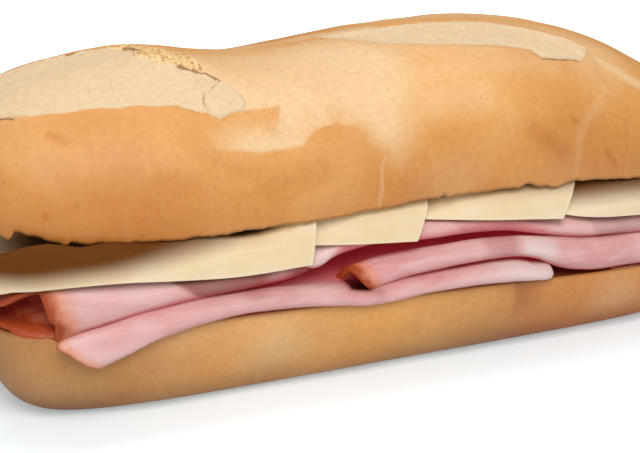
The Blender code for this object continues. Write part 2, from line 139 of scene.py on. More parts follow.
def loaf_faces(rows, columns):
    """Faces of a closed form whose columns wrap round and whose first and last rows are single points: its
    quads, and a fan at either end."""
    number = 1 + np.arange((rows - 2) * columns).reshape(rows - 2, columns)
    ahead = np.roll(number, -1, axis=1)
    quads = np.stack([number[:-1], number[1:], ahead[1:], ahead[:-1]], axis=-1).reshape(-1, 4)
    start, end = np.zeros(columns, int), np.full(columns, (rows - 2) * columns + 1)
    start_fan = np.stack([start, number[0], ahead[0]], axis=1)
    end_fan = np.stack([end, ahead[-1], number[-1]], axis=1)
    return quads, start_fan, end_fan


def loaf_mesh(name, points, material, fields):
    """A closed form from a grid whose columns wrap round and whose first and last rows shrink to points."""
    def listed(grid):
        return np.concatenate([grid[:1, 0], grid[1:-1].reshape(-1, *grid.shape[2:]), grid[-1:, 0]])

    faces = [loop for loops in loaf_faces(*points.shape[:2]) for loop in loops.tolist()]
    values = {field: listed(grid) for field, grid in fields.items()}
    return write_piece(name, listed(points), faces, material, values)


def tint(red, green, blue):
    """A display colour of 0 to 255 a channel as the linear colour that a shader takes."""
    part = np.array((red, green, blue)) / 255.0
    linear = np.where(part < 0.04045, part / 12.92, ((part + 0.055) / 1.055) ** 2.4)
    return (*linear.tolist(), 1.0)


def add_node(tree, kind, inputs, **settings):
    """A shader node with its settings, and its inputs by name or number: values, or sockets to link from."""
    made = tree.nodes.new(kind)
    for setting, value in settings.items():
        setattr(made, setting, value)
    for key, value in inputs.items():
        if isinstance(value, bpy.types.NodeSocket):
            tree.links.new(value, made.inputs[key])
        else:
            made.inputs[key].default_value = value
    return made


def maths(tree, operation, *values):
    """The result of one maths node on values or sockets."""
    return add_node(tree, "ShaderNodeMath", dict(enumerate(values)), operation=operation).outputs[0]


def band(tree, value, low, high, start=0.0, end=1.0):
    """A smooth change from start at low to end at high, level outside."""
    inputs = {"Value": value, "From Min": low, "From Max": high, "To Min": start, "To Max": end}
    made = add_node(tree, "ShaderNodeMapRange", inputs, interpolation_type="SMOOTHSTEP")
    return made.outputs["Result"]


def mixed(tree, share, first, second):
    """The first colour with a share of the second mixed in."""
    return add_node(tree, "ShaderNodeMix", {0: share, 6: first, 7: second}, data_type="RGBA").outputs[2]


def wavering(tree, name, place, per_mm):
    """The distance that a mesh carries under that name, made to waver by up to 0.8 mm."""
    uneven = maths(tree, "MULTIPLY", noise(tree, place, per_mm, 2.0), 1.6)
    return maths(tree, "ADD", field(tree, name), maths(tree, "SUBTRACT", uneven, 0.8))


def noise(tree, where, per_mm, detail=2.0, stretch=(1.0, 1.0, 1.0), shift=0.0):
    """Noise of that many features a millimetre, stretched along the axes."""
    moved = {"Vector": where, "Scale": stretch, "Location": (shift,) * 3}
    spread = add_node(tree, "ShaderNodeMapping", moved)
    inputs = {"Vector": spread.outputs[0], "Scale": per_mm, "Detail": detail, "Roughness": 0.55}
    return add_node(tree, "ShaderNodeTexNoise", inputs).outputs["Fac"]


def dots(tree, where, per_mm, low, high):
    """Small round marks in the middle of Voronoi cells, 1 inside the low radius and 0 beyond the high one."""
    cells = add_node(tree, "ShaderNodeTexVoronoi", {"Vector": where, "Scale": per_mm, "Randomness": 1.0})
    return band(tree, cells.outputs["Distance"], low, high, 1.0, 0.0)


def new_group(name, inputs, outputs):
    """An empty shader group with named float or vector inputs and outputs, and its input and output nodes."""
    tree = bpy.data.node_groups.new(name, "ShaderNodeTree")
    for socket, kind in inputs.items():
        tree.interface.new_socket(socket, in_out="INPUT", socket_type=kind)
    for socket, kind in outputs.items():
        tree.interface.new_socket(socket, in_out="OUTPUT", socket_type=kind)
    return tree, tree.nodes.new("NodeGroupInput"), tree.nodes.new("NodeGroupOutput")


def new_finish(name, roughness, **constants):
    """A Principled material, its object-space position in millimetres, and its shader node."""
    material = bpy.data.materials.new(name)
    material.use_nodes = True
    tree = material.node_tree
    shader = tree.nodes["Principled BSDF"]
    shader.inputs["Roughness"].default_value = roughness
    for socket, value in constants.items():
        shader.inputs[socket.replace("_", " ")].default_value = value
    place = add_node(tree, "ShaderNodeTexCoord", {}).outputs["Object"]
    scaled = add_node(tree, "ShaderNodeMapping", {"Vector": place, "Scale": (1.0 / MM,) * 3})
    return material, tree, scaled.outputs[0], shader


def field(tree, name):
    """The value that a mesh carries at each point under that name."""
    return add_node(tree, "ShaderNodeAttribute", {}, attribute_name=name).outputs["Fac"]


def relief(tree, shader, height, depth):
    """Bump of that depth in millimetres on the shader's normal."""
    inputs = {"Height": height, "Distance": depth * MM, "Strength": 1.0}
    bump = add_node(tree, "ShaderNodeBump", inputs)
    tree.links.new(bump.outputs[0], shader.inputs["Normal"])


def baked_crust():
    """Group: a crust's colour, roughness and relief. Gold is turned to Brown by Toast, which also carries
    painted shade, stretched thin and pale by Pale and torn open and floury by Flour, with broad mottling,
    fine pores and short streaks."""
    scalar, vector = "NodeSocketFloat", "NodeSocketVector"
    inputs = {"Place": vector, "Toast": scalar, "Pale": scalar, "Flour": scalar, "Brown": "NodeSocketColor"}
    outputs = {"Color": "NodeSocketColor", "Roughness": scalar, "Height": scalar}
    tree, source, sink = new_group("baked crust", inputs, outputs)
    place, toast_and_shade, pale, flour, brown = (source.outputs[n] for n in inputs)
    broad = noise(tree, place, 0.045, 3.0)
    fine = noise(tree, place, 0.6, 4.0)
    streaks = noise(tree, place, 0.35, 3.0, (2.2, 0.35, 0.35))
    gold = mixed(tree, band(tree, broad, 0.35, 0.65), tint(226, 160, 84), tint(232, 170, 96))
    deeper = maths(tree, "MULTIPLY", toast_and_shade, band(tree, broad, 0.1, 0.6, 1.15, 0.9))
    browned = mixed(tree, deeper, gold, brown)
    faded = mixed(tree, pale, browned, tint(237, 203, 156))
    floured = mixed(tree, flour, faded, tint(230, 202, 162))
    speckled = mixed(tree, band(tree, fine, 0.3, 0.7, 0.12, 0.0), floured, tint(150, 88, 40))
    lit = mixed(tree, band(tree, streaks, 0.5, 0.75, 0.0, 0.05), speckled, tint(247, 214, 170))
    pores = dots(tree, place, 0.75, 0.10, 0.22)
    where = band(tree, noise(tree, place, 0.09, 2.0, shift=7.0), 0.5, 0.64)
    marks = maths(tree, "MULTIPLY", pores, where)
    colour = mixed(tree, maths(tree, "MULTIPLY", marks, 0.16), lit, tint(140, 84, 40))
    tree.links.new(colour, sink.inputs["Color"])
    tree.links.new(band(tree, flour, 0.0, 1.0, 0.52, 0.85), sink.inputs["Roughness"])
    grain = maths(tree, "MULTIPLY", noise(tree, place, 1.6, 3.0), band(tree, flour, 0.0, 1.0, 0.2, 0.55))
    height = maths(tree, "SUBTRACT", grain, maths(tree, "MULTIPLY", marks, 0.3))
    tree.links.new(height, sink.inputs["Height"])
    return tree


def soft_crumb():
    """Group: the cut crumb's cream colour and its open pores, as colour and relief."""
    scalar, vector = "NodeSocketFloat", "NodeSocketVector"
    outputs = {"Color": "NodeSocketColor", "Height": scalar}
    tree, source, sink = new_group("soft crumb", {"Place": vector}, outputs)
    place = source.outputs["Place"]
    small = dots(tree, place, 0.55, 0.25, 0.6)
    large = dots(tree, place, 0.2, 0.2, 0.5)
    holes = maths(tree, "MAXIMUM", maths(tree, "MULTIPLY", small, 0.6), maths(tree, "MULTIPLY", large, 0.8))
    crumb = mixed(tree, noise(tree, place, 0.3, 3.0), tint(244, 228, 198), tint(232, 206, 166))
    colour = mixed(tree, maths(tree, "MULTIPLY", holes, 0.55), crumb, tint(196, 152, 102))
    tree.links.new(colour, sink.inputs["Color"])
    web = maths(tree, "MULTIPLY", noise(tree, place, 1.2, 4.0), 0.5)
    tree.links.new(maths(tree, "SUBTRACT", web, holes), sink.inputs["Height"])
    return tree


CRUST_GROUP = baked_crust()
CRUMB_GROUP = soft_crumb()


def bread_finish(name, left_brown_and_shade, right_brown):
    """Crust outside, crumb on the cut face, and a dark line along the crust's cut edge, partly browned crust
    and partly painted shade of the gap under it. The crust's brown changes along the roll."""
    material, tree, place, shader = new_finish(name, 0.55)
    along = add_node(tree, "ShaderNodeSeparateXYZ", {0: place}).outputs["X"]
    marks = {"Place": place, "Toast": field(tree, "toast_and_shade"), "Pale": field(tree, "pale"),
             "Flour": band(tree, field(tree, "flour"), -0.12, 0.2),
             "Brown": mixed(tree, band(tree, along, 10.0, 60.0), left_brown_and_shade, right_brown)}
    crust = add_node(tree, "ShaderNodeGroup", marks, node_tree=CRUST_GROUP)
    crumb = add_node(tree, "ShaderNodeGroup", {"Place": place}, node_tree=CRUMB_GROUP)
    open_face = band(tree, wavering(tree, "inward", place, 0.5), 0.5, 1.1)
    torn = band(tree, field(tree, "crack_and_shade"), 0.05, 0.4, 0.75, 0.0)
    pits = band(tree, noise(tree, place, 0.7, 4.0), 0.3, 0.5, 1.0, 0.0)
    broken = mixed(tree, pits, tint(240, 208, 152), tint(188, 134, 70))
    crumbly = maths(tree, "MULTIPLY", field(tree, "crumbly"), 0.75)
    edge = mixed(tree, crumbly, crust.outputs["Color"], broken)
    # a dark line along the crust's cut edge: partly browned crust, partly painted shade of the gap under it
    edge = mixed(tree, band(tree, field(tree, "rim"), 0.2, 1.1, 0.45, 0.0), edge, tint(140, 80, 30))
    # cracks and torn skin are dark brown, and the same colour is painted shade where a mesh sets its crack
    # field below nought
    edge = mixed(tree, torn, edge, tint(128, 76, 22))
    colour = mixed(tree, open_face, edge, crumb.outputs["Color"])
    tree.links.new(colour, shader.inputs["Base Color"])
    tree.links.new(maths(tree, "MAXIMUM", crust.outputs["Roughness"], open_face), shader.inputs["Roughness"])
    heights = {0: open_face, 2: crust.outputs["Height"], 3: crumb.outputs["Height"]}
    both = add_node(tree, "ShaderNodeMix", heights).outputs[0]
    relief(tree, shader, maths(tree, "SUBTRACT", both, maths(tree, "MULTIPLY", torn, 0.6)), 0.35)
    return material


def lower_half_points(level, around):
    """The lower half: level runs 0..1 from the base's centre over its flat and up the wall to the rim, then
    1..2 back in over the cut face, a little lower than the crust's edge. around is the plan angle."""
    wall = np.clip((level - LOW_FLAT_PART) / (1.0 - LOW_FLAT_PART), 0.0, 1.0) * np.pi / 2.0
    power = 2.0 / LOW_WALL_POWER
    width = LOW_FLAT_HALF_WIDTH + (LOW_HALF_WIDTH - LOW_FLAT_HALF_WIDTH) * np.sin(wall) ** power
    width = width - LOW_TUCK * np.clip((level - LOW_TUCK_FROM) / (1.0 - LOW_TUCK_FROM), 0.0, 1.0) ** 2
    inset = LOW_HALF_WIDTH - width
    shrink = np.where(level < LOW_FLAT_PART, level / LOW_FLAT_PART, np.where(level > 1.0, 2.0 - level, 1.0))
    cos_a, sin_a = np.cos(around), np.sin(around)
    square = (np.abs(cos_a) ** LOW_PLAN_POWER + np.abs(sin_a) ** LOW_PLAN_POWER) ** (-1.0 / LOW_PLAN_POWER)
    half = np.where(cos_a < 0, *LOW_HALF_LENGTHS) - inset
    x = ROLL_CENTRE + half * cos_a * square * shrink
    y = width * sin_a * square * shrink
    z = smooth_line(LOW_RIM, x) * np.where(level > 1.0, 1.0, 1.0 - np.cos(wall) ** power)
    inward = np.where(level > 1.0, (level - 1.0) * LOW_HALF_WIDTH, 0.0)
    z = z - CRUMB_SINK * smooth_step(0.0, CRUST_EDGE, inward)
    return np.stack([x, y, z], axis=-1), inward


def even_angles(count, front_share):
    """Plan angles that put equal lengths of the rim between columns, the front's share of them given."""
    dense = np.linspace(0.0, 2.0 * np.pi, 4001)
    rim, _inward = lower_half_points(np.ones_like(dense), dense)
    step = np.linalg.norm(np.diff(rim, axis=0), axis=1)
    step = step * np.where(rim[1:, 1] < 0, front_share, 1.0 - front_share)
    length = running(step)
    return np.interp(np.arange(count) / count * length[-1], length, dense)


def make_lower_half():
    flat = np.linspace(0.0, LOW_FLAT_PART, 7)
    wall = np.linspace(LOW_FLAT_PART, 1.0, 64)[1:]
    cut = 1.0 + np.array([0.25, 0.6, 1.0, 1.5, 2.2, 3.0]) / LOW_HALF_WIDTH
    inner = np.linspace(cut[-1], 2.0, 24)[1:]
    level = np.concatenate([flat, wall, cut, inner])[:, None]
    around = even_angles(LOW_COLUMNS, LOW_FRONT_SHARE)[None, :]
    level, around = np.broadcast_arrays(level, around)
    points, inward = lower_half_points(level, around)
    # the base stays flat, and the wall and the cut face are a little uneven
    free = smooth_step(0.5, 5.0, points[..., 2])
    outside = (level > LOW_FLAT_PART) & (level <= 1.0)
    push = 0.18 * lumps(points, 34.0, 11) + 0.06 * lumps(points, 9.0, 12)
    points = points + grid_normals(points, True) * (free * push * outside)[..., None]
    on_cut = level > 1.0
    points[..., 2] += np.where(on_cut, 0.12 * lumps(points, 7.0, 13), 0.0) * smooth_step(0.0, 2.0, inward)
    points[0, :] = points[0].mean(axis=0)
    points[-1, :] = points[-1].mean(axis=0)
    x, height = points[..., 0], points[..., 2]
    # browner under the roll and at its right end; darker at its left end and in one patch at the front below
    # the first ham slice's right end, both painted shade
    under = smooth_step(13.0, 2.0, height)
    toast_and_shade = 0.1 + 0.62 * smooth_step(-48.0, -98.0, x) + 0.45 * smooth_step(-15.0, 45.0, x) + 0.35 * under
    toast_and_shade = toast_and_shade + 0.12 * lumps(points, 40.0, 14)
    toast_and_shade = toast_and_shade + 0.4 * window(x, 29.0, 31.0, 33.0, 42.0) * smooth_step(9.0, 18.0, height)
    pale = 0.35 * smooth_step(40.0, -60.0, np.abs(x + 40.0)) + 0.15 * lumps(points, 30.0, 15)
    pale = np.clip(pale, 0.0, 1.0) * (1.0 - under)
    # painted shade: the crumb is coloured dark brown where it shows in the shadow beside the first ham
    # slice's two ends
    beside_ham = ((x > 36.0) & (x < 62.0)) | (x < -84.0)
    painted_shade_by_ham = beside_ham & (points[..., 1] < -22.0) & on_cut
    fields = {"toast_and_shade": np.clip(toast_and_shade, 0.0, 1.1), "pale": pale, "flour": np.full_like(x, -4.0),
              "inward": np.where(painted_shade_by_ham, 0.0, inward), "crack_and_shade": np.where(painted_shade_by_ham, -1.0, 9.0),
              "crumbly": np.zeros_like(x), "rim": np.where(on_cut, 0.0, LOW_WALL_LENGTH * (1.0 - level))}
    # on this half the left end's dull dark brown is painted shade
    finish = bread_finish("bread base", tint(158, 104, 60), tint(184, 90, 14))
    piece = loaf_mesh("roll_lower_half", points, finish, fields)
    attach(piece, "root")
    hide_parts("bread_bottom")


make_lower_half()


# ---------------------------------------------------------------- ham
# Four slices of smoked cooked ham, each a thin moist sheet folded once, the fold to the front.
# Brine-cured pink meat with a smoked orange-brown rim where a leaf's edge or a slice's end shows.

GAP = 0.4
HAM_THICKNESS = 1.9
HAM_ROW_LENGTH = 165.0          # about the length of a slice from leaf edge to leaf edge, round its fold
HAM_PRESSED = 4.2               # height of a folded slice under the roll's weight
HAM_PUFFED = 4.2                # how much higher a loose fold stands
HAM_OVER_RIM = 1.1
HAM_BEND = 2.4                  # radius of a fold
HAM_END = 22.0                  # how far from its ends a slice swings out
HAM_DROOP = 0.3
INNER_FROM_FRONT = 13.0
LEAF_SAG = 11.0
LEAF_SINK = (2.6, -13.0, 8.0)   # depth, middle in x and half width

# Where each slice's layer builds up and where it runs out, as (from, to) of a smooth change along x.
LAYER_RISE = {"ham_1": (-106.0, -92.0), "ham_3": (-43.0, -22.0), "ham_4": (-50.0, -29.0)}
LAYER_FALL = {"ham_1": (41.0, 60.0), "ham_2": (26.0, 50.0)}
PUFFED_LEFT = (-58.0, -26.0)
PUFFED_RIGHT = (24.0, 58.0)

# Each slice's fold: its ends in x, how far they swing out (reach) and how soon behind it (swing), how much of
# each is pinched shut (closed), where it hangs over the rim (hangs), where its upper leaf climbs late (late)
# or takes its neighbours' heights (inside), its leaves' back edges (back), and its front, lowest and highest
# lines. left_end: how far the cut end's top leans out, how far its lower leaf is drawn in, and how far its
# upper and lower leaves droop there, over the given length.
HAM_SLICES = {
    "ham_1": {
        "ends": (-84.6, 40.5), "reach": (-3.0, 0.0), "swing": 7.0, "closed": (0.0, 5.0),
        "left_end": {"lean": 10.0, "skin": 1.0, "drawn_in": 3.0, "droops": (1.5, 0.0), "over": 12.0},
        "hangs": (-63.0, -78.0), "late": (24.0, 34.0), "back": (38.0, 37.0),
        "front": ((-90, -40.0), (-85, -41.0), (-78, -41.8), (-65, -41.9), (40, -41.9)),
        "low": ((-85, 16.9), (-80, 19.5), (-65, 24.5), (-48, 26.8), (-28, 25.5), (-12, 24.3), (10, 24.7),
                (28, 23.4), (36, 22.9), (40, 23.6)),
        "high": ((-85, 26.6), (-80, 28.0), (-72, 29.9), (-48, 31.8), (-28, 30.5), (-20, 28.9), (-14, 26.8),
                 (-9, 26.9), (-3, 27.7), (10, 28.4), (26, 29.0), (31, 28.4), (36, 26.5), (40, 24.4)),
    },
    "ham_3": {
        "ends": (-13.5, 97.0), "reach": (-4.0, 4.0), "swing": 4.0, "closed": (0.0, 0.0),
        "left_end": {"lean": 3.4, "skin": 0.0, "drawn_in": 12.0, "droops": (6.6, 0.0), "over": 12.0},
        "back": (37.6, 36.2),
        "front": ((-14, -40.6), (60, -40.8), (78, -39.0), (90, -35.6), (97, -32.0)),
        "low": ((-14, 26.2), (-8, 27.7), (-2, 29.0), (12, 30.0), (26, 30.4), (31, 30.2), (36, 28.8),
                (43, 25.2), (52, 22.8), (66, 21.9), (97, 21.3)),
        "high": ((-14, 32.6), (-8, 34.6), (6, 35.8), (18, 36.3), (30, 35.5), (42, 33.1), (54, 30.5),
                 (68, 29.8), (97, 29.5)),
    },
    "ham_2": {
        "ends": (-93.5, 26.0), "reach": (-13.0, 0.0), "swing": 4.0, "closed": (0.0, 8.0),
        "left_end": {"lean": 3.0, "skin": 0.0, "drawn_in": 0.0, "droops": (2.8, 6.2), "over": 9.0},
        "late": (-55.0, -35.0), "back": (36.8, 35.6),
        "front": ((-94, -35.8), (-84, -39.2), (-74, -40.4), (-60, -40.7), (-42, -39.6), (-30, -34.6),
                  (-24, -32.5), (-18, -29.5), (-12, -28.0), (26, -27.0)),
        "low": ((-94, 24.2), (-89, 25.6), (-84, 27.3), (-74, 29.9), (-60, 31.6), (-45, 32.5), (-28, 32.2),
                (-21, 34.6), (-15, 36.0)),
        "high": ((-94, 39.2), (-84, 39.2), (-60, 38.8), (-40, 38.0), (-28, 35.6), (-15, 37.8)),
        "inside": (-30.0, -22.0),
    },
    "ham_4": {
        "ends": (-28.5, 93.0), "reach": (0.0, 4.0), "swing": 7.0, "closed": (2.5, 0.0),
        "left_end": {"lean": 0.0, "skin": 0.0, "drawn_in": 0.0, "droops": (0.0, 0.0), "over": 5.0},
        "back": (36.0, 34.6),
        "front": ((-28, -38.2), (-15, -38.8), (60, -38.9), (78, -37.4), (93, -31.0)),
        "low": ((-28.5, 33.8), (-26.5, 34.4), (-22, 37.6), (-13, 39.7), (4, 38.6), (18, 39.1), (28, 38.0),
                (36, 35.8), (44, 33.6), (54, 31.8), (68, 30.5), (93, 30.1)),
        "high": ((-28, 39.6), (-20, 41.2), (-12, 42.0), (2, 42.0), (22, 41.4), (42, 38.3), (60, 37.8),
                 (93, 37.0)),
    },
}


def low_plan(x):
    """Fraction of the lower half's width that is left at x."""
    span = x - ROLL_CENTRE
    return squareness(span / np.where(span < 0, *LOW_HALF_LENGTHS), LOW_PLAN_POWER)


def layer_heights(x):
    """Bottom and top height of each ham slice inside the sandwich, and the top of the pile.
    Each slice lies on what is under it at x, and loose folds are thicker."""
    thick_2 = HAM_PRESSED + HAM_PUFFED * (1.0 - smooth_step(*PUFFED_LEFT, x))
    thick_34 = HAM_PRESSED + HAM_PUFFED * smooth_step(*PUFFED_RIGHT, x)
    rise = {name: smooth_step(*LAYER_RISE[name], x) for name in LAYER_RISE}
    fall = {name: 1.0 - smooth_step(*LAYER_FALL[name], x) for name in LAYER_FALL}
    bottom_1 = smooth_line(LOW_RIM, x) + HAM_OVER_RIM
    bottom_3 = bottom_1 + rise["ham_1"] * fall["ham_1"] * (HAM_PRESSED + GAP)
    bottom_2 = bottom_3 + rise["ham_3"] * (thick_34 + GAP)
    bottom_4 = bottom_2 + fall["ham_2"] * (thick_2 + GAP)
    heights = {
        "ham_1": (bottom_1, bottom_1 + HAM_PRESSED),
        "ham_2": (bottom_2, bottom_2 + thick_2),
        "ham_3": (bottom_3, bottom_3 + thick_34),
        "ham_4": (bottom_4, bottom_4 + thick_34),
    }
    return heights, bottom_4 + rise["ham_4"] * (thick_34 + GAP)


def smooth_rows(keys, steps):
    """Curve through each row's key points, steps points on each span, slopes weighted by chord length."""
    chord = keys[:, 1:] - keys[:, :-1]
    length = np.linalg.norm(chord, axis=2, keepdims=True)
    slope = chord / length
    inner = (slope[:, :-1] * length[:, 1:] + slope[:, 1:] * length[:, :-1]) / (length[:, 1:] + length[:, :-1])
    tangent = np.concatenate([slope[:, :1], inner, slope[:, -1:]], axis=1)
    part = (np.arange(steps) / steps)[None, None, :, None]
    rise = part * part * (3.0 - 2.0 * part)
    reach = length[:, :, None]
    spans = (keys[:, :-1, None] * (1.0 - rise) + keys[:, 1:, None] * rise
             + reach * tangent[:, :-1, None] * part * (1.0 - part) ** 2
             - reach * tangent[:, 1:, None] * part * part * (1.0 - part))
    return np.concatenate([spans.reshape(len(keys), -1, keys.shape[2]), keys[:, -1:]], axis=1)


def respaced(rows, shares):
    """Each row's curve read again at shares 0..1 of its own length: one interpolation over all the rows,
    laid end to end with a step between them."""
    length = running(np.linalg.norm(np.diff(rows, axis=1), axis=2), 1)
    offset = 2.0 * np.arange(len(rows))[:, None]
    known = (length / length[:, -1:] + offset).ravel()
    wanted = (shares[None, :] + offset).ravel()
    read = [np.interp(wanted, known, rows[..., k].ravel()) for k in range(rows.shape[2])]
    return np.stack(read, axis=-1).reshape(len(rows), len(shares), rows.shape[2])


def bell(value, middle, half_width):
    """1 at the middle, smoothly down to almost nothing two half widths away."""
    return np.exp(-((value - middle) / half_width) ** 2)


def change(limits, x):
    """A slice's smooth change along x, or none."""
    return smooth_step(*limits, x) if limits else np.zeros_like(x)


def ham_surface(name, x, shares):
    """Middle surface of a folded slice: at each x a centre line from the lower leaf's back edge, forward to
    the bread's rim, down or up round the fold, and back along the upper leaf."""
    slice_ = HAM_SLICES[name]
    left, right = slice_["ends"]
    half = HAM_THICKNESS / 2.0
    front = smooth_line(slice_["front"], x)
    inside = change(slice_.get("inside"), x)
    hang = change(slice_.get("hangs"), x)
    own, _pile = layer_heights(x)
    low = smooth_line(slice_["low"], x) * (1.0 - inside) + own[name][0] * inside
    high = smooth_line(slice_["high"], x) * (1.0 - inside) + (own[name][1] - GAP) * inside
    # a pinched end is lower there, and its fold draws back
    open_part = np.ones_like(x)
    for pinched, from_end in zip(slice_["closed"], (x - left, right - x)):
        if pinched:
            open_part = open_part * squareness(np.clip(1.0 - from_end / pinched, 0.0, 1.0), 2.0)
    middle = (low + high) / 2.0
    height = np.maximum(2.0 * HAM_THICKNESS + 0.1, (high - low) * (0.6 + 0.4 * open_part))
    low_mid = middle - height / 2.0 + half
    high_mid = middle + height / 2.0 - half
    edge = front + 2.0 * (1.0 - open_part) + half
    bend = np.minimum((high_mid - low_mid) / 2.0, HAM_BEND)
    bend = bend * (1.0 - hang) + (half + 0.1) * hang
    near_left = smooth_step(HAM_END, 0.0, x - left)
    near_right = smooth_step(HAM_END, 0.0, right - x)
    reach = slice_["reach"][0] * near_left + slice_["reach"][1] * near_right

    def swing(past_fold):
        """Share of the end's reach at a distance behind the fold, rising from none."""
        return 1.0 - np.exp(-np.maximum(past_fold, 0.0) / slice_["swing"])

    def leaf(y, side):
        """Centre height of the lower (0) or upper (1) leaf inside the sandwich."""
        # the second slice's soft lower leaf sags on to the first beside the third slice's end
        soft = name == "ham_2" and side == 0
        layers, _pile = layer_heights(x + reach * swing(y - edge - bend) - (LEAF_SAG if soft else 0.0))
        depth, middle_x, half_width = LEAF_SINK
        sink = depth * bell(x, middle_x, half_width) if soft else 0.0
        return layers[name][side] - sink + (half if side == 0 else -half)

    # key points from the lower leaf's back edge, forward and round the fold, and back along the upper leaf
    plan = low_plan(x + reach)
    back_low = slice_["back"][0] * plan + 0.4 * np.sin(x * 0.21)
    back_high = slice_["back"][1] * plan + 0.5 * np.sin(x * 0.16 + 1.7)
    lower = [back_low, back_low - 9.0, edge + 10.0]
    upper = [edge + INNER_FROM_FRONT, back_high - 9.0, back_high]
    under, over = edge + 2.0 * bend + 1.6 - 0.4 * hang, edge + 7.5
    settled = 0.85 - 0.5 * np.maximum(hang, change(slice_.get("late"), x))
    ys = [*lower, under, edge + (1.0 + 0.9 * hang) * bend, edge, edge + bend, over, *upper]
    zs = [
        *(leaf(y, 0) for y in lower),
        low_mid + (leaf(under, 0) - low_mid) * (0.3 + 0.7 * hang),
        low_mid + 1.3 * hang,
        (low_mid + high_mid) / 2.0 - 2.0 * hang,
        high_mid,
        high_mid + (leaf(over, 1) - high_mid) * settled,
        *(leaf(y, 1) for y in upper),
    ]
    zs[-1] = zs[-1] - HAM_DROOP * (own[name][1] - own[name][0] - HAM_PRESSED)
    keys = np.stack([np.stack(ys, axis=1), np.stack(zs, axis=1)], axis=2)
    line = respaced(smooth_rows(keys, 14), shares)
    along, up = line[:, :, 0], line[:, :, 1]
    past_fold = along - (edge + bend)[:, None]
    swung = swing(past_fold)
    rise = np.clip((up - low_mid[:, None]) / (high_mid - low_mid)[:, None], 0.0, 1.0)
    # the cut left end: its top leans out, its lower leaf is drawn in and its leaves droop
    left_end = slice_["left_end"]
    at_end = smooth_step(left_end["over"], 0.0, x - left)[:, None]
    fold = np.argmin(along, axis=1)[:, None]
    under_fold = (fold - np.arange(len(shares))[None, :]).astype(float)
    below = smooth_step(8.0, 24.0, under_fold)
    behind = 0.65 * smooth_step(0.9, 5.6, past_fold) + 0.35 * smooth_step(5.0, 13.0, past_fold)
    lean = left_end["lean"] * near_left[:, None] * rise * smooth_step(6.0, 0.0, under_fold)
    lean = lean * (1.0 - left_end["skin"] * smooth_step(0.0, 3.0, past_fold))
    droop = left_end["droops"][0] * (1.0 - below) + left_end["droops"][1] * below
    # an end reaches no further than the bread under it, and a drooping leaf lies on the crumb
    plan_end = squareness(along / LOW_HALF_WIDTH, LOW_PLAN_POWER)
    bread_end = ROLL_CENTRE - (LOW_HALF_LENGTHS[0] - 2.0) * plan_end
    wanted = np.minimum(slice_["reach"][0] * swung, -0.01)
    share = np.clip((bread_end - left) / wanted, -1.0, 1.0)
    shift = reach[:, None] * swung * np.where(reach[:, None] < 0.0, share, 1.0)
    x_all = x[:, None] + shift - lean + left_end["drawn_in"] * at_end * below
    crumb = smooth_line(LOW_RIM, x_all) + half - 0.3
    drooped = up - droop * at_end * behind
    up = np.where(behind > 0.0, np.maximum(drooped, np.minimum(up, crumb)), up)
    return np.stack([x_all, along, up], axis=2)


def edge_steps(radius, count=5):
    """Distances from a sheet's edge that turn evenly round an edge of that radius."""
    return radius * (1.0 - np.cos(np.linspace(0.0, np.pi / 2.0, count)))


def sheet_mesh(name, middle, half, edge, power, material, more_fields):
    """A closed sheet round its middle surface: each point moves half the thickness to both sides along the
    normal, less within the edge's radius, where the two sides meet in a superelliptic rim."""
    rows, columns = middle.shape[:2]
    run_across = running(np.linalg.norm(np.diff(middle, axis=1), axis=2), 1)
    run_along = running(np.linalg.norm(np.diff(middle, axis=0), axis=2), 0)
    from_leaf_edge = np.minimum(run_across, run_across[:, -1:] - run_across)
    from_end = np.minimum(run_along, run_along[-1:] - run_along)
    nearest = np.minimum(from_leaf_edge, from_end)
    thick = half * squareness(1.0 - np.clip(nearest / edge, 0.0, 1.0), power)
    offset = grid_normals(middle, False) * thick[..., None]
    number = np.arange(rows * columns).reshape(rows, columns)
    inner = np.zeros((rows, columns), bool)
    inner[1:-1, 1:-1] = True
    other = number.copy()
    other[inner] = rows * columns + np.arange(inner.sum())

    def quads(index):
        loops = [index[:-1, :-1], index[1:, :-1], index[1:, 1:], index[:-1, 1:]]
        return np.stack(loops, axis=-1).reshape(-1, 4)

    points = np.concatenate([(middle + offset).reshape(-1, 3), (middle - offset)[inner]])
    faces = np.concatenate([quads(number), quads(other)[:, ::-1]])
    fields = {"rim": nearest, **more_fields}
    values = {n: np.concatenate([grid.ravel(), grid[inner]]) for n, grid in fields.items()}
    return write_piece(name, points, faces.tolist(), material, values)


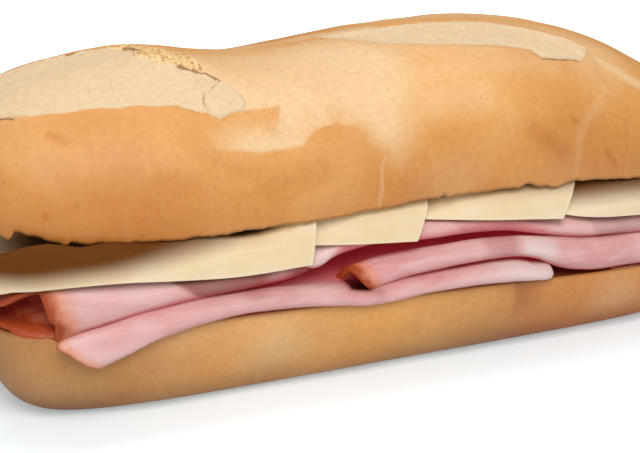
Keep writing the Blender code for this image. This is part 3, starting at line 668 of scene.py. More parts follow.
def ham_finish():
    """Moist pink meat with paler pressed patches, soft fibres along the slice and a smoked rim; also painted
    light, painted shade and shadows, and a painted red glow in its gaps.
    """
    material, tree, place, shader = new_finish(
        "smoked ham", 0.42, Subsurface_Weight=0.18, Subsurface_Radius=(1.0, 0.35, 0.25),
        Subsurface_Scale=0.003, Specular_IOR_Level=0.32)
    broad = noise(tree, place, 0.07, 3.0, (0.6, 1.0, 1.0))
    fibres = noise(tree, place, 0.5, 3.0, (0.2, 1.4, 1.4))
    meat = mixed(tree, band(tree, broad, 0.35, 0.68), tint(219, 155, 153), tint(230, 185, 181))
    meat = mixed(tree, band(tree, fibres, 0.45, 0.75, 0.0, 0.35), meat, tint(236, 204, 200))
    # pale fat, and painted light where a slice lies less in shade
    meat = mixed(tree, field(tree, "fat_and_painted_light"), meat, tint(234, 212, 206))
    # painted shade: maroon in the gaps behind the folds and along the creases
    painted_gap_shade = field(tree, "painted_gap_shade")
    meat = mixed(tree, maths(tree, "MULTIPLY", painted_gap_shade, 0.6), meat, tint(184, 70, 72))
    # painted shadows: brown where the neighbours shade a slice, near black in the hollow under the arch
    painted_shade = field(tree, "painted_shade")
    meat = mixed(tree, painted_shade, meat, tint(116, 38, 8))
    meat = mixed(tree, band(tree, painted_shade, 0.75, 1.0), meat, tint(44, 5, 8))
    # painted glow: in the shade behind the folds the meat gives off a dim red light, standing in for light
    # through the meat
    through = mixed(tree, painted_gap_shade, tint(0, 0, 0), tint(110, 20, 30))
    tree.links.new(through, shader.inputs["Emission Color"])
    shader.inputs["Emission Strength"].default_value = 0.42
    inward = wavering(tree, "smoke", place, 0.35)
    glow = mixed(tree, band(tree, inward, 1.2, 4.5, 0.8, 0.0), meat, tint(222, 136, 84))
    rim = mixed(tree, band(tree, inward, 0.5, 2.1, 1.0, 0.0), glow, tint(166, 70, 24))
    tree.links.new(rim, shader.inputs["Base Color"])
    tree.links.new(band(tree, fibres, 0.3, 0.7, 0.36, 0.5), shader.inputs["Roughness"])
    relief(tree, shader, maths(tree, "ADD", fibres, noise(tree, place, 1.1, 2.0)), 0.12)
    return material


HAM_FINISH = ham_finish()


# Where a slice is pale along its fold, partly with fat and partly painted light where it lies less in shade,
# as (strength, then where that starts, is full, fades and is gone), in x. FAR is beyond the roll's ends.
FAR = 300.0
HAM_FAT_AND_LIGHT = {
    "ham_1": (0.8, 14.0, 30.0, FAR, FAR + 1.0),
    "ham_2": (0.25, -FAR - 1.0, -FAR, -70.0, -60.0),
    "ham_3": (0.85, 27.0, 33.0, 38.0, 44.0),
    "ham_4": (0.6, -FAR - 1.0, -FAR, -25.0, -18.0),
}
# Where a slice is painted brown as the shadow that its neighbours cast on it, as (strength, where that
# starts, is full, fades and is gone, and how far its start slants for each millimetre below a height, and
# that height).
HAM_PAINTED_SHADOWS = {
    "ham_1": (),
    "ham_2": ((0.7, -64.5, -62.5, -44.0, -36.0, 2.1, 36.0), (0.5, -35.0, -31.0, FAR, FAR + 1.0, 0.0, 0.0)),
    "ham_3": ((0.22, 18.0, 21.0, 27.0, 32.0, 0.0, 0.0),),
    "ham_4": ((0.26, 49.0, 51.0, FAR, FAR + 1.0, 1.1, 37.8), (0.2, 8.7, 10.1, 22.0, 34.0, 1.35, 42.4)),
}
# How each slice's smoked rim runs in from its left end: how far from the rim the cut starts, how fast the
# distance grows along the fold, and how much slower behind it.
HAM_SMOKE = {"ham_1": (0.9, 1.0, 0.0), "ham_2": (0.0, 0.5, 0.36), "ham_3": (0.0, 0.8, 0.0),
             "ham_4": (9.0, 1.0, 0.0)}
# Painted shade on the first slice: the dark hollow under the third slice's arch and two faint creases beside
# it.
HOLLOW = (-20.5, -18.0, -13.5, -10.0)
CREASES = ((0.2, -44.0, 3.0, 28.0, 31.0), (0.3, -11.0, 2.0, 24.5, 26.5))


def ham_shading(name, middle, shares):
    """What a slice carries at each point: fat and painted light, painted shade and glow among the leaves,
    painted shadows, and distance from the smoke.
    """
    x, y, height = middle[..., 0], middle[..., 1], middle[..., 2]
    behind = y - y.min(axis=1, keepdims=True)
    lower_leaf = np.arange(len(shares))[None, :] < np.argmin(y, axis=1)[:, None]
    fold = smooth_step(16.0, 2.0, behind)
    strength, *limits = HAM_FAT_AND_LIGHT[name]
    fat_and_painted_light = strength * fold * window(x, *limits)
    # painted shade and glow: the leaves behind their fold turn maroon and glow red, but not at the back or at
    # the right end
    painted_gap_shade = np.where(lower_leaf, smooth_step(0.9, 4.0, behind), smooth_step(2.6, 8.0, behind))
    painted_gap_shade = painted_gap_shade * smooth_step(20.0, 4.0, y) * smooth_step(66.0, 40.0, x)
    if name == "ham_2":
        painted_gap_shade = painted_gap_shade * (0.35 + 0.65 * smooth_step(-90.0, -78.0, x))
    if name != "ham_1":
        # and along the crease where the slice lies on the next, also painted shade
        line = 1.9 if name == "ham_2" else 1.1
        on_next = smooth_step(line + 1.0, line, height - smooth_line(HAM_SLICES[name]["low"], x))
        painted_gap_shade = np.maximum(painted_gap_shade, on_next * smooth_step(20.0, 0.0, y))
    # painted shadows cast by the neighbouring slices and the cheese
    painted_shade = np.zeros_like(x)
    for full, start, started, fade, gone, slant, level in HAM_PAINTED_SHADOWS[name]:
        shift = slant * (level - height)
        brown = full * smooth_step(start + shift, started + shift, x) * smooth_step(gone, fade, x)
        painted_shade = np.maximum(painted_shade, brown)
    if name in ("ham_3", "ham_4"):
        painted_shade = painted_shade * fold
    if name == "ham_1":
        # painted shade in the hollow under the third slice's arch and in two creases
        painted_shade = window(x, *HOLLOW) * window(behind, 0.7, 2.0, 6.0, 8.5) * ~lower_leaf
        for full, middle_x, half_width, faint, clear in CREASES:
            crease = full * bell(x, middle_x, half_width)
            painted_shade = np.maximum(painted_shade, crease * smooth_step(faint, clear, height))
    start, pace, slower = HAM_SMOKE[name]
    run = running(np.linalg.norm(np.diff(middle[:, len(shares) // 2], axis=0), axis=1))[:, None]
    smoke = start + run * (pace - slower * smooth_step(1.5, 5.0, behind))
    from_leaf_edge = HAM_ROW_LENGTH * np.minimum(shares, 1.0 - shares)[None, :]
    smoke = np.minimum(np.minimum(smoke, 20.0), 1.1 + 2.2 * from_leaf_edge)
    return {"fat_and_painted_light": fat_and_painted_light, "smoke": smoke, "painted_gap_shade": painted_gap_shade, "painted_shade": painted_shade}


def make_ham(name):
    left, right = HAM_SLICES[name]["ends"]
    half = HAM_THICKNESS / 2.0
    steps = edge_steps(half)
    middle_x = np.arange(left + 1.5 * half, right - 1.5 * half, 0.75)
    x = np.concatenate([left + steps, middle_x, right - steps[::-1]])
    close = steps / HAM_ROW_LENGTH
    shares = np.concatenate([close, np.linspace(0.012, 0.4, 44), np.linspace(0.4, 0.61, 72)[1:-1],
                             np.linspace(0.61, 0.988, 44), 1.0 - close[::-1]])
    middle = ham_surface(name, x, shares)
    push = 0.14 * lumps(middle, 16.0, len(name) + int(name[-1]))
    middle = middle + grid_normals(middle, False) * push[..., None]
    shading = ham_shading(name, middle, shares)
    piece = sheet_mesh(name.replace("ham", "ham_slice"), middle, half, half, 2.0, HAM_FINISH, shading)
    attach(piece, "root")
    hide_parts(name)


for ham_name in HAM_SLICES:
    make_ham(ham_name)


# ---------------------------------------------------------------- cheese
# Four thin slices of mild pale cheese, cut square by machine and shingled along the roll, the left-most on
# top. Each lies on the ham and hangs over its folds at the front, its side edges leaning with the slice.

TOP_RIM = ((-107, 51.0), (-79, 48.4), (-43, 48.6), (5, 50.8), (36, 49.6), (67, 47.6), (112, 46.5))
CHEESE_THICKNESS = 1.8
CHEESE_BACK = 40.4
CHEESE_FLAT_HALF = 32.0
CHEESE_BACK_DROP = 2.6
CHEESE_FLAT_PART = 0.72
CHEESE_ROW_LENGTH = 95.0        # about the length of a slice from front to back
CHEESE_EDGE = 0.35              # radius of a cut edge
# How far a slice is drawn up inside the crust before it hangs, as (x, height).
CHEESE_BROW = ((-108, 15.0), (-100, 16.5), (-92, 14.5), (-85, 11.6), (-78, 9.0), (-60, 7.0), (-35, 5.6),
               (20, 5.0), (40, 6.0), (50, 9.5), (86, 10.0))

# Each slice: its front edge's ends in x, where it climbs on to its right-hand neighbour (over), how far its
# sides lean where it hangs (lean), its front edge as (x, y, z) points, and how far below the crust's edge it
# is painted brown, as (x, depth): painted shade standing for the shadow and the light bounced off the crust
# there.
CHEESE_SLICES = {
    "cheese_1": {"ends": (-108.0, -30.0), "over": (-88.0, -78.0), "lean": 3.0,
                 "edge": ((-108, -28.5, 38.2), (-98, -34.5, 39.0), (-90, -37.8, 39.8), (-78, -40.3, 40.0),
                          (-66, -41.0, 38.9), (-50, -41.1, 37.5), (-30, -41.1, 37.6)),
                 "shade": ((-112, 12.8), (-101, 11.8), (-90, 9.4), (-77, 7.3), (-63, 5.6), (-48, 4.2),
                           (-35, 1.8), (-31, 0.5))},
    "cheese_2": {"ends": (-76.0, -1.0), "over": (-27.0, -17.0), "lean": 5.5,
                 "edge": ((-76, -33.0, 41.8), (-42, -33.0, 41.8), (-30, -36.8, 41.2), (-20, -39.6, 40.9),
                          (-1, -41.1, 39.6)),
                 "shade": ((-30, 3.4), (-25, 2.4), (-10, 1.4), (0, 1.0))},
    "cheese_3": {"ends": (-16.0, 42.0), "over": (5.0, 14.0), "lean": 6.5,
                 "edge": ((-16, -30.5, 45.4), (-8, -31.0, 45.2), (1, -36.0, 43.7), (12, -39.3, 42.9),
                          (42, -41.1, 39.7)),
                 "shade": ((0, 3.9), (22, 3.2), (38, 3.6), (48, 3.0))},
    "cheese_4": {"ends": (15.0, 86.0), "over": None, "lean": 5.0,
                 "edge": ((15, -30.5, 44.2), (32, -32.0, 43.6), (42, -37.0, 40.2), (67, -40.2, 37.2),
                          (86, -36.5, 36.0)),
                 "shade": ((42, 8.2), (54, 6.9), (80, 5.8), (100, 4.5))},
}


def cheese_surface(name, front_x, across):
    """Middle surface of a hanging slice: flat on the pile, then a curve down over the ham's folds.
    across runs -1..1 from the front edge to the back edge, flat within CHEESE_FLAT_PART."""
    slice_ = CHEESE_SLICES[name]
    front_x = front_x[:, None]
    flat = np.clip(across / CHEESE_FLAT_PART, -1.0, 1.0)[None, :]
    hang = np.clip((np.abs(across) - CHEESE_FLAT_PART) / (1.0 - CHEESE_FLAT_PART), 0.0, 1.0)[None, :]
    front_side = (across < 0)[None, :]
    lean = slice_["lean"] * np.where(front_side, 1.0 - hang ** 2, 1.0)
    x = front_x + lean
    edge_y = smooth_line([(p[0], p[1]) for p in slice_["edge"]], front_x)
    edge_z = smooth_line([(p[0], p[2]) for p in slice_["edge"]], front_x)
    end_y = np.where(front_side, edge_y, np.minimum(-edge_y - 0.7, CHEESE_BACK * low_plan(x)))
    start_y = np.sign(across)[None, :] * np.minimum(CHEESE_FLAT_HALF, np.abs(end_y) - 4.0)
    _layers, pile = layer_heights(x)
    level = pile + CHEESE_THICKNESS / 2.0 + 0.8 * GAP
    if slice_["over"]:
        level = level + smooth_step(*slice_["over"], x) * (CHEESE_THICKNESS + 1.5 * GAP)
    back_drop = CHEESE_BACK_DROP * smooth_step(CHEESE_FLAT_HALF + 2.0, CHEESE_BACK - 1.4, end_y)
    end_z = np.where(front_side, np.minimum(edge_z, level), level - back_drop)
    shoulder_y = end_y + np.where(front_side, 0.8, -0.5)
    y = start_y * (1 - hang) ** 2 + 2 * shoulder_y * hang * (1 - hang) + end_y * hang ** 2
    brow = np.where(front_side, smooth_line(CHEESE_BROW, x), 0.0)
    z = level * (1 - hang) ** 2 + 2 * (level + brow) * hang * (1 - hang) + end_z * hang ** 2
    y = np.where(hang == 0.0, start_y * np.abs(flat), y)
    return np.stack([x, y, z], axis=2)


def cheese_finish():
    """Waxy pale cheese: cream colour with very soft bands, a faint press grain and a slightly glossy skin,
    with painted shade under the crust.
    """
    material, tree, place, shader = new_finish(
        "pale cheese", 0.4, Subsurface_Weight=0.25, Subsurface_Radius=(1.0, 0.8, 0.45),
        Subsurface_Scale=0.003, Specular_IOR_Level=0.18)
    broad = noise(tree, place, 0.06, 2.0)
    bands = noise(tree, place, 0.3, 2.0, (0.15, 1.0, 1.6))
    body = mixed(tree, band(tree, broad, 0.3, 0.7), tint(236, 210, 169), tint(242, 219, 184))
    body = mixed(tree, band(tree, bands, 0.45, 0.7, 0.0, 0.35), body, tint(232, 202, 156))
    # painted highlight: paler within about a millimetre of the cut edges
    body = mixed(tree, band(tree, field(tree, "rim"), 0.2, 1.2, 0.4, 0.0), body, tint(248, 232, 202))
    # painted shade: dark brown under the crust's edge
    body = mixed(tree, field(tree, "painted_shade"), body, tint(104, 58, 16))
    tree.links.new(body, shader.inputs["Base Color"])
    gloss = band(tree, bands, 0.3, 0.7, 0.34, 0.46)
    tree.links.new(maths(tree, "MAXIMUM", gloss, field(tree, "painted_shade")), shader.inputs["Roughness"])
    relief(tree, shader, maths(tree, "ADD", bands, noise(tree, place, 0.8, 2.0)), 0.06)
    return material


CHEESE_FINISH = cheese_finish()


def make_cheese(name):
    left, right = CHEESE_SLICES[name]["ends"]
    half = CHEESE_THICKNESS / 2.0
    steps = edge_steps(CHEESE_EDGE)
    x = np.concatenate([left + steps, np.arange(left + 0.9, right - 0.9, 0.8), right - steps[::-1]])
    dense = cheese_surface(name, x, np.linspace(-1.0, 1.0, 401))
    close = steps / CHEESE_ROW_LENGTH
    shares = np.concatenate([close, np.linspace(0.01, 0.2, 34), np.linspace(0.2, 0.9, 40)[1:-1],
                             np.linspace(0.9, 0.99, 12), 1.0 - close[::-1]])
    middle = respaced(dense, shares)
    push = 0.05 * lumps(middle, 14.0, int(name[-1]))
    middle = middle + grid_normals(middle, False) * push[..., None]
    x, y, height = middle[..., 0], middle[..., 1], middle[..., 2]
    # painted shade: brown from the crust's edge down to the slice's depth, fading at the far left
    below_crust = smooth_line(TOP_RIM, x) - height
    depth = smooth_line(CHEESE_SLICES[name]["shade"], x)
    painted_shade = smooth_step(depth + 1.2, depth - 5.2, below_crust)
    painted_shade = painted_shade * smooth_step(30.0, 10.0, y) * smooth_step(-108.0, -104.5, x)
    piece = sheet_mesh(name.replace("cheese", "cheese_slice"), middle, half, CHEESE_EDGE, 3.0, CHEESE_FINISH,
                       {"painted_shade": painted_shade})
    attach(piece, "root")
    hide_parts(name)


for cheese_name in CHEESE_SLICES:
    make_cheese(cheese_name)


# ---------------------------------------------------------------- upper half of the roll
# The roll's upper half: the domed crust, with two slashes that opened in the oven into pale floury lenses and
# stretched the skin between them. Its cut edge is torn in places, and its soft crumb rests on the cheese.

TOP_HALF_LENGTHS = (117.1, 107.1)
TOP_HALF_WIDTH = 42.0
TOP_PLAN_POWERS = (3.31, 3.43)
TOP_END_POWERS = (3.41, 2.58)
TOP_SECTION_POWER = 2.3
TOP_TUCK = 1.2
TOP_TUCK_HEIGHT = 7.0
TOP_STATIONS = 401
TOP_MIDDLE_PART = 0.8           # of the length, where the stations are even before they crowd at the ends
CRUMB_SLOPE = 0.33
CRUMB_OVER_CHEESE = 0.7
CHEESE_DOUBLE = (-92.0, -82.0, 49.0, 60.0)
CREST = ((-95, 89.7), (-61, 87.9), (-33, 82.7), (5, 85.5), (40, 86.5), (75, 82.4), (105, 71.7))

# Marks on the crust are given as (x, girth): girth is the way round the crust from its crest line, negative
# towards the served front.
FIRST_SLASH = ((-111, 0), (-104, 7), (-92, 10.5), (-82, 11), (-74, 10.5), (-67, 8), (-62, 5), (-60, 1),
               (-61, -4), (-61.5, -7), (-59, -10.5), (-56, -12), (-52.5, -13), (-50, -16), (-47.5, -16.5),
               (-45.5, -19.5), (-47.5, -22.5), (-51.5, -26), (-52, -32), (-57.5, -30), (-59, -29),
               (-65.5, -28), (-75.5, -26), (-83, -24), (-91, -21), (-99, -15.5), (-106, -8))
SECOND_SLASH = ((-10, 3.5), (0, 2.5), (8.5, 1), (18, 0), (27, -2), (37, -2.5), (43, -5.5), (50, -10.5),
                (57, -15.5), (61, -19.5), (57, -25), (43.5, -25), (41.5, -22.8), (38, -22), (34.6, -21),
                (27.6, -20), (19, -17.6), (10, -14.5), (2.7, -11.3), (-4, -4))
FIRST_FLAP = ((-44.6, -20.5), (-47.7, -22.5), (-51.6, -25.8), (-52.3, -28.5), (-51.7, -32.2),
              (-49.4, -33.6), (-47, -32.3), (-43, -31), (-41, -29), (-42, -25.5), (-42.7, -22.6))
SECOND_FLAP = ((41.7, -21), (41.6, -24.6), (43.5, -27), (49.5, -26.6), (55.2, -27), (57.5, -25),
               (60, -21.5), (58, -17), (50, -14), (44, -15))
CRUMBLY_LIP = ((-67, 8.5), (-61, 7), (-55, 2), (-51, -3), (-48.5, -8), (-46.5, -14), (-47.5, -16),
               (-50, -15.6), (-52.5, -13.2), (-56, -12.6), (-59.5, -11.5), (-62.5, -8), (-61.5, -3),
               (-63, 3))
# The stretched skin between the slashes: its lower limit, where its paleness fades away, and the lower limit
# of the paler smear under the first slash's near edge.
SKIN_LIMIT = ((-50, -33), (-43, -31), (-39.4, -30.5), (-32.6, -29.7), (-34, -32.8), (-35.4, -36.5),
              (-37, -42.2), (-30.1, -41.3), (-25.6, -38.2), (-22.8, -37.1), (-20.4, -36.9), (-18.4, -38.6),
              (-14, -39.8), (-11.5, -44.5), (-8.5, -48.5), (-6, -60), (60, -60), (60, 40), (-50, 40))
SKIN_FADE = ((-60, -8), (-44, -2), (-30, -3), (-15, -4), (-4, -9), (3, -16), (6, -26), (4, -36), (-2, -43),
             (-8, -50), (-12, -46), (-20, -37), (-30, -44), (-38, -44), (-48, -36))
SMEAR_LIMIT = ((-62, -40), (-54, -42), (-47.4, -42), (-42, -42.9), (-37.6, -42.3), (-30.1, -41.5),
               (-29, -30), (-62, -28))
# Soft pale lines in the skin, as (points, half width, strength), and browned marks in the same way.
PALE_LINES = (
    (((-31.0, -28.8), (-31.3, -34), (-31, -37.5), (-30.2, -41)), 0.8, 0.5),
    (((-10, -48.5), (-11.2, -53.5), (-11.8, -60)), 1.0, 0.34),
    (((61, -33), (56.5, -39.4), (50.4, -45.2), (47.3, -49), (45.4, -60)), 2.8, 0.2),
    (((19, -28), (18.6, -33), (17.2, -40)), 3.2, 0.25),
    (((61, -25.5), (66, -28.5), (73, -32), (84, -38)), 4.2, 0.75),
    (((44, -29), (20, -28), (2, -29)), 9.0, 0.3),
    (((-30, -20), (-26, -27), (-24, -34)), 9.0, 0.8),
    (((0, -36), (20, -37)), 10.0, 0.35),
    (((6, 3), (-14, 5), (-30, 10)), 4.0, 0.6),
    (((50, 4), (30, 9), (10, 12)), 7.0, 0.4),
    (((-100.5, -19), (-94, -23.5), (-86, -26.6)), 1.8, 0.7),
    (((-20, -55.5), (-17, -53)), 3.0, 0.3),
)
BROWN_LINES = (
    (((-90, -27.5), (-86.5, -31)), 1.8, 0.45),
    (((-93.8, -45), (-93.4, -46)), 0.9, 0.8),
    (((33, -48), (41, -54)), 5.0, 0.35),
    (((46, -45.5), (48, -47)), 1.3, 0.4),
    (((56, -54), (58, -56.5)), 1.6, 0.5),
    (((59, -22), (60, -33)), 2.4, 0.45),
    (((44, -3), (50, -10), (58, -15)), 2.0, 0.5),
    (((-56, 8), (-48, 3), (-38, 0), (-26, -3)), 4.5, 0.25),
    (((-34, -37), (-33, -33), (-33, -30)), 1.0, 0.3),
    (((-55, -43), (-50, -46), (-42, -48)), 4.0, 0.22),
    (((-66, -47), (-60, -50)), 5.0, 0.2),
    (((-40, -51), (-26, -48)), 7.0, 0.3),
    (((-14, -24), (-8, -28)), 14.0, 0.25),
)
# Cracks in the skin, as (points, half width).
CRACKS = (
    (((-61.5, 4), (-60.3, 1.5), (-59.6, -2)), 0.75),
    (((-75, 10.4), (-73.4, 10.2)), 0.3),
    (((-53.4, -13), (-51, -15), (-49.9, -16)), 0.2),
    (((-49.9, -16), (-47.4, -16.5), (-45.7, -19.4), (-44.6, -20.5)), 0.1),
    (((-44.6, -20.5), (-47.7, -22.5), (-51.6, -25.8), (-52, -28.1), (-51, -31.5)), -0.14),
    (((-44.6, -20.5), (-42.9, -21.8), (-42, -25.5)), -0.12),
    (((-102.5, -11.5), (-99.3, -15.2), (-96, -17.6)), 0.12),
    (((63.4, -44.8), (62.4, -52.5)), -0.1),
    (((10, -14.6), (19, -17.7), (27.6, -20.1), (34.6, -21.1), (38, -22.1), (41.6, -22.9)), -0.12),
    (((41.5, -23), (41.4, -24.7), (43.4, -27.1), (49.5, -26.7), (55.2, -27.1)), -0.02),
    (((-65.5, -28.1), (-59, -29.1), (-57.5, -30.1), (-52.4, -32.3)), -0.2),
)
# How far the crust's front cut edge is torn up (or hangs down) from its smooth line, as (x, rise).
TORN_EDGE = ((-106, -0.2), (-103, -0.3), (-101.4, -1.1), (-100.7, -0.9), (-100.2, 1.2), (-98.6, 1.6),
             (-95, 0.8), (-91.6, -0.5), (-88.8, -1.0), (-88.2, 0.2), (-84, -0.4), (-81.3, 0.2), (-80, -0.4),
             (-75.5, -0.3), (-73.6, 0.5), (-71.6, -0.2), (-66, 0.0), (-45, 0.0), (-33, -0.3), (-24, -0.9),
             (-6, -0.8), (6, -0.5), (6.7, 0.8), (7.5, -0.6), (17, -0.3), (28.6, -0.3), (31.5, 0.9),
             (34.4, -0.3), (36.2, -0.5), (36.9, 0.2), (37.8, -0.6), (40, -0.7), (46, 0.5), (55, 0.2),
             (67, -0.4), (74, 0.0))


def filling_top(x):
    """Height of the top of the cheese, one slice on the ham or two where they overlap."""
    start, started, stop, stopped = CHEESE_DOUBLE
    double = smooth_step(start, started, x) * (1.0 - smooth_step(stop, stopped, x))
    _layers, pile = layer_heights(x)
    return pile + 0.8 * GAP + CHEESE_THICKNESS + double * (CHEESE_THICKNESS + 1.5 * GAP)


def cut_height(x, rim, inward):
    """Height of the upper half's cut face: it sinks inwards from the rim until it lies on the filling."""
    sunk = rim - CRUMB_SLOPE * inward
    return np.maximum(np.minimum(filling_top(x) + CRUMB_OVER_CHEESE, rim), sunk)


def upper_half_points(along, ring):
    """The upper half: along runs -1..1 from end to end, ring runs round the section, 0..pi over the crust
    from the front rim and pi..2 pi back across the cut face."""
    half = np.where(along < 0, *TOP_HALF_LENGTHS)
    plan = squareness(along, np.where(along < 0, *TOP_PLAN_POWERS))
    end = squareness(along, np.where(along < 0, *TOP_END_POWERS))
    x = ROLL_CENTRE + along * half
    rim = smooth_line(TOP_RIM, x)
    side, rise = -np.cos(ring), np.sin(ring)
    crust = ring <= np.pi
    power = 2.0 / TOP_SECTION_POWER
    swell_y = np.sign(side) * np.abs(side) ** power
    swell_z = np.abs(rise) ** power
    inward = np.minimum(TOP_HALF_WIDTH * plan * (1.0 - np.abs(side)), half * (1.0 - np.abs(along)))
    inward = np.where(crust, 0.0, inward)
    z = np.where(crust, rim + (smooth_line(CREST, x) - rim) * end * swell_z, cut_height(x, rim, inward))
    tuck = np.where(crust, np.clip(1.0 - (z - rim) / TOP_TUCK_HEIGHT, 0.0, 1.0), 1.0) ** 2
    y = TOP_HALF_WIDTH * plan * np.where(crust, swell_y, side) * (1.0 - tuck * TOP_TUCK / TOP_HALF_WIDTH)
    x = ROLL_CENTRE + (x - ROLL_CENTRE) * (1.0 - tuck * TOP_TUCK / TOP_HALF_LENGTHS[0])
    return np.stack([x, y, z], axis=-1), inward


def line_gap(x, girth, line):
    """Distance of each point from a broken line: the least of its distances from the straight pieces."""
    least = np.full(x.shape, 99.0)
    for start, end in zip(line[:-1], line[1:]):
        run_x, run_g = end[0] - start[0], end[1] - start[1]
        part = ((x - start[0]) * run_x + (girth - start[1]) * run_g) / (run_x ** 2 + run_g ** 2)
        part = np.clip(part, 0.0, 1.0)
        least = np.minimum(least, np.hypot(x - start[0] - part * run_x, girth - start[1] - part * run_g))
    return least


def patch_inside(x, girth, outline):
    """How far each point is inside a closed outline, negative outside: the distance from the outline, signed
    by whether an odd number of its pieces pass over the point."""
    closed = (*outline, outline[0])
    inside = np.zeros(x.shape, bool)
    for start, end in zip(closed[:-1], closed[1:]):
        over = (x >= min(start[0], end[0])) & (x < max(start[0], end[0]))
        slope = (end[1] - start[1]) / (end[0] - start[0]) if end[0] != start[0] else 0.0
        inside ^= over & (girth < start[1] + (x - start[0]) * slope)
    return line_gap(x, girth, closed) * np.where(inside, 1.0, -1.0)


def faint_lines(x, girth, lines):
    """The strongest of several soft lines, each full at its middle and gone at its half width."""
    strength = np.zeros_like(x)
    for line, half_width, full in lines:
        strength = np.maximum(strength, full * (1.0 - smooth_step(0.0, half_width, line_gap(x, girth, line))))
    return strength


def crowded(places, crowd, count):
    """That many places over the same line as the given ones, closer together where the crowd is high: the
    crowd's running sum, read back at even steps."""
    run = running((crowd[1:] + crowd[:-1]) / 2.0)
    return np.interp(np.linspace(0.0, run[-1], count), run, places)


def upper_half_grid():
    """Stations along the upper half and turns round its section, crowded where its skin is cracked or torn,
    and the column of its crest and of its back rim."""
    count = np.linspace(-1.0, 1.0, TOP_STATIONS)
    size = np.abs(count)
    bow = 1.0 / (1.0 - TOP_MIDDLE_PART ** 2)
    inner, outer = 2.0 * bow * (1.0 - TOP_MIDDLE_PART) * size, 1.0 - bow * (1.0 - size) ** 2
    along = np.sign(count) * np.where(size < TOP_MIDDLE_PART, inner, outer)
    along = crowded(along, 1.0 + 1.3 * bell(along, -0.49, 0.09) + 0.5 * bell(along, 0.42, 0.08), TOP_STATIONS)
    front = np.linspace(0.0, 0.5 * np.pi, 500)
    front = crowded(front, 1.0 + 0.9 * bell(front, 1.05, 0.3) + 0.5 * bell(front, 0.0, 0.15), 126)[:-1]
    back = np.linspace(0.5 * np.pi, np.pi, 71)[:-1]
    cut_rim = np.linspace(0.0, 0.25, 8)
    cut_middle = np.linspace(np.pi + 0.25, 2.0 * np.pi - 0.25, 24)
    ring = np.concatenate([front, back, np.pi + cut_rim[:-1], cut_middle, 2.0 * np.pi - cut_rim[:0:-1]])
    along, ring = np.broadcast_arrays(along[:, None], ring[None, :])
    return along, ring, len(front), len(front) + len(back)


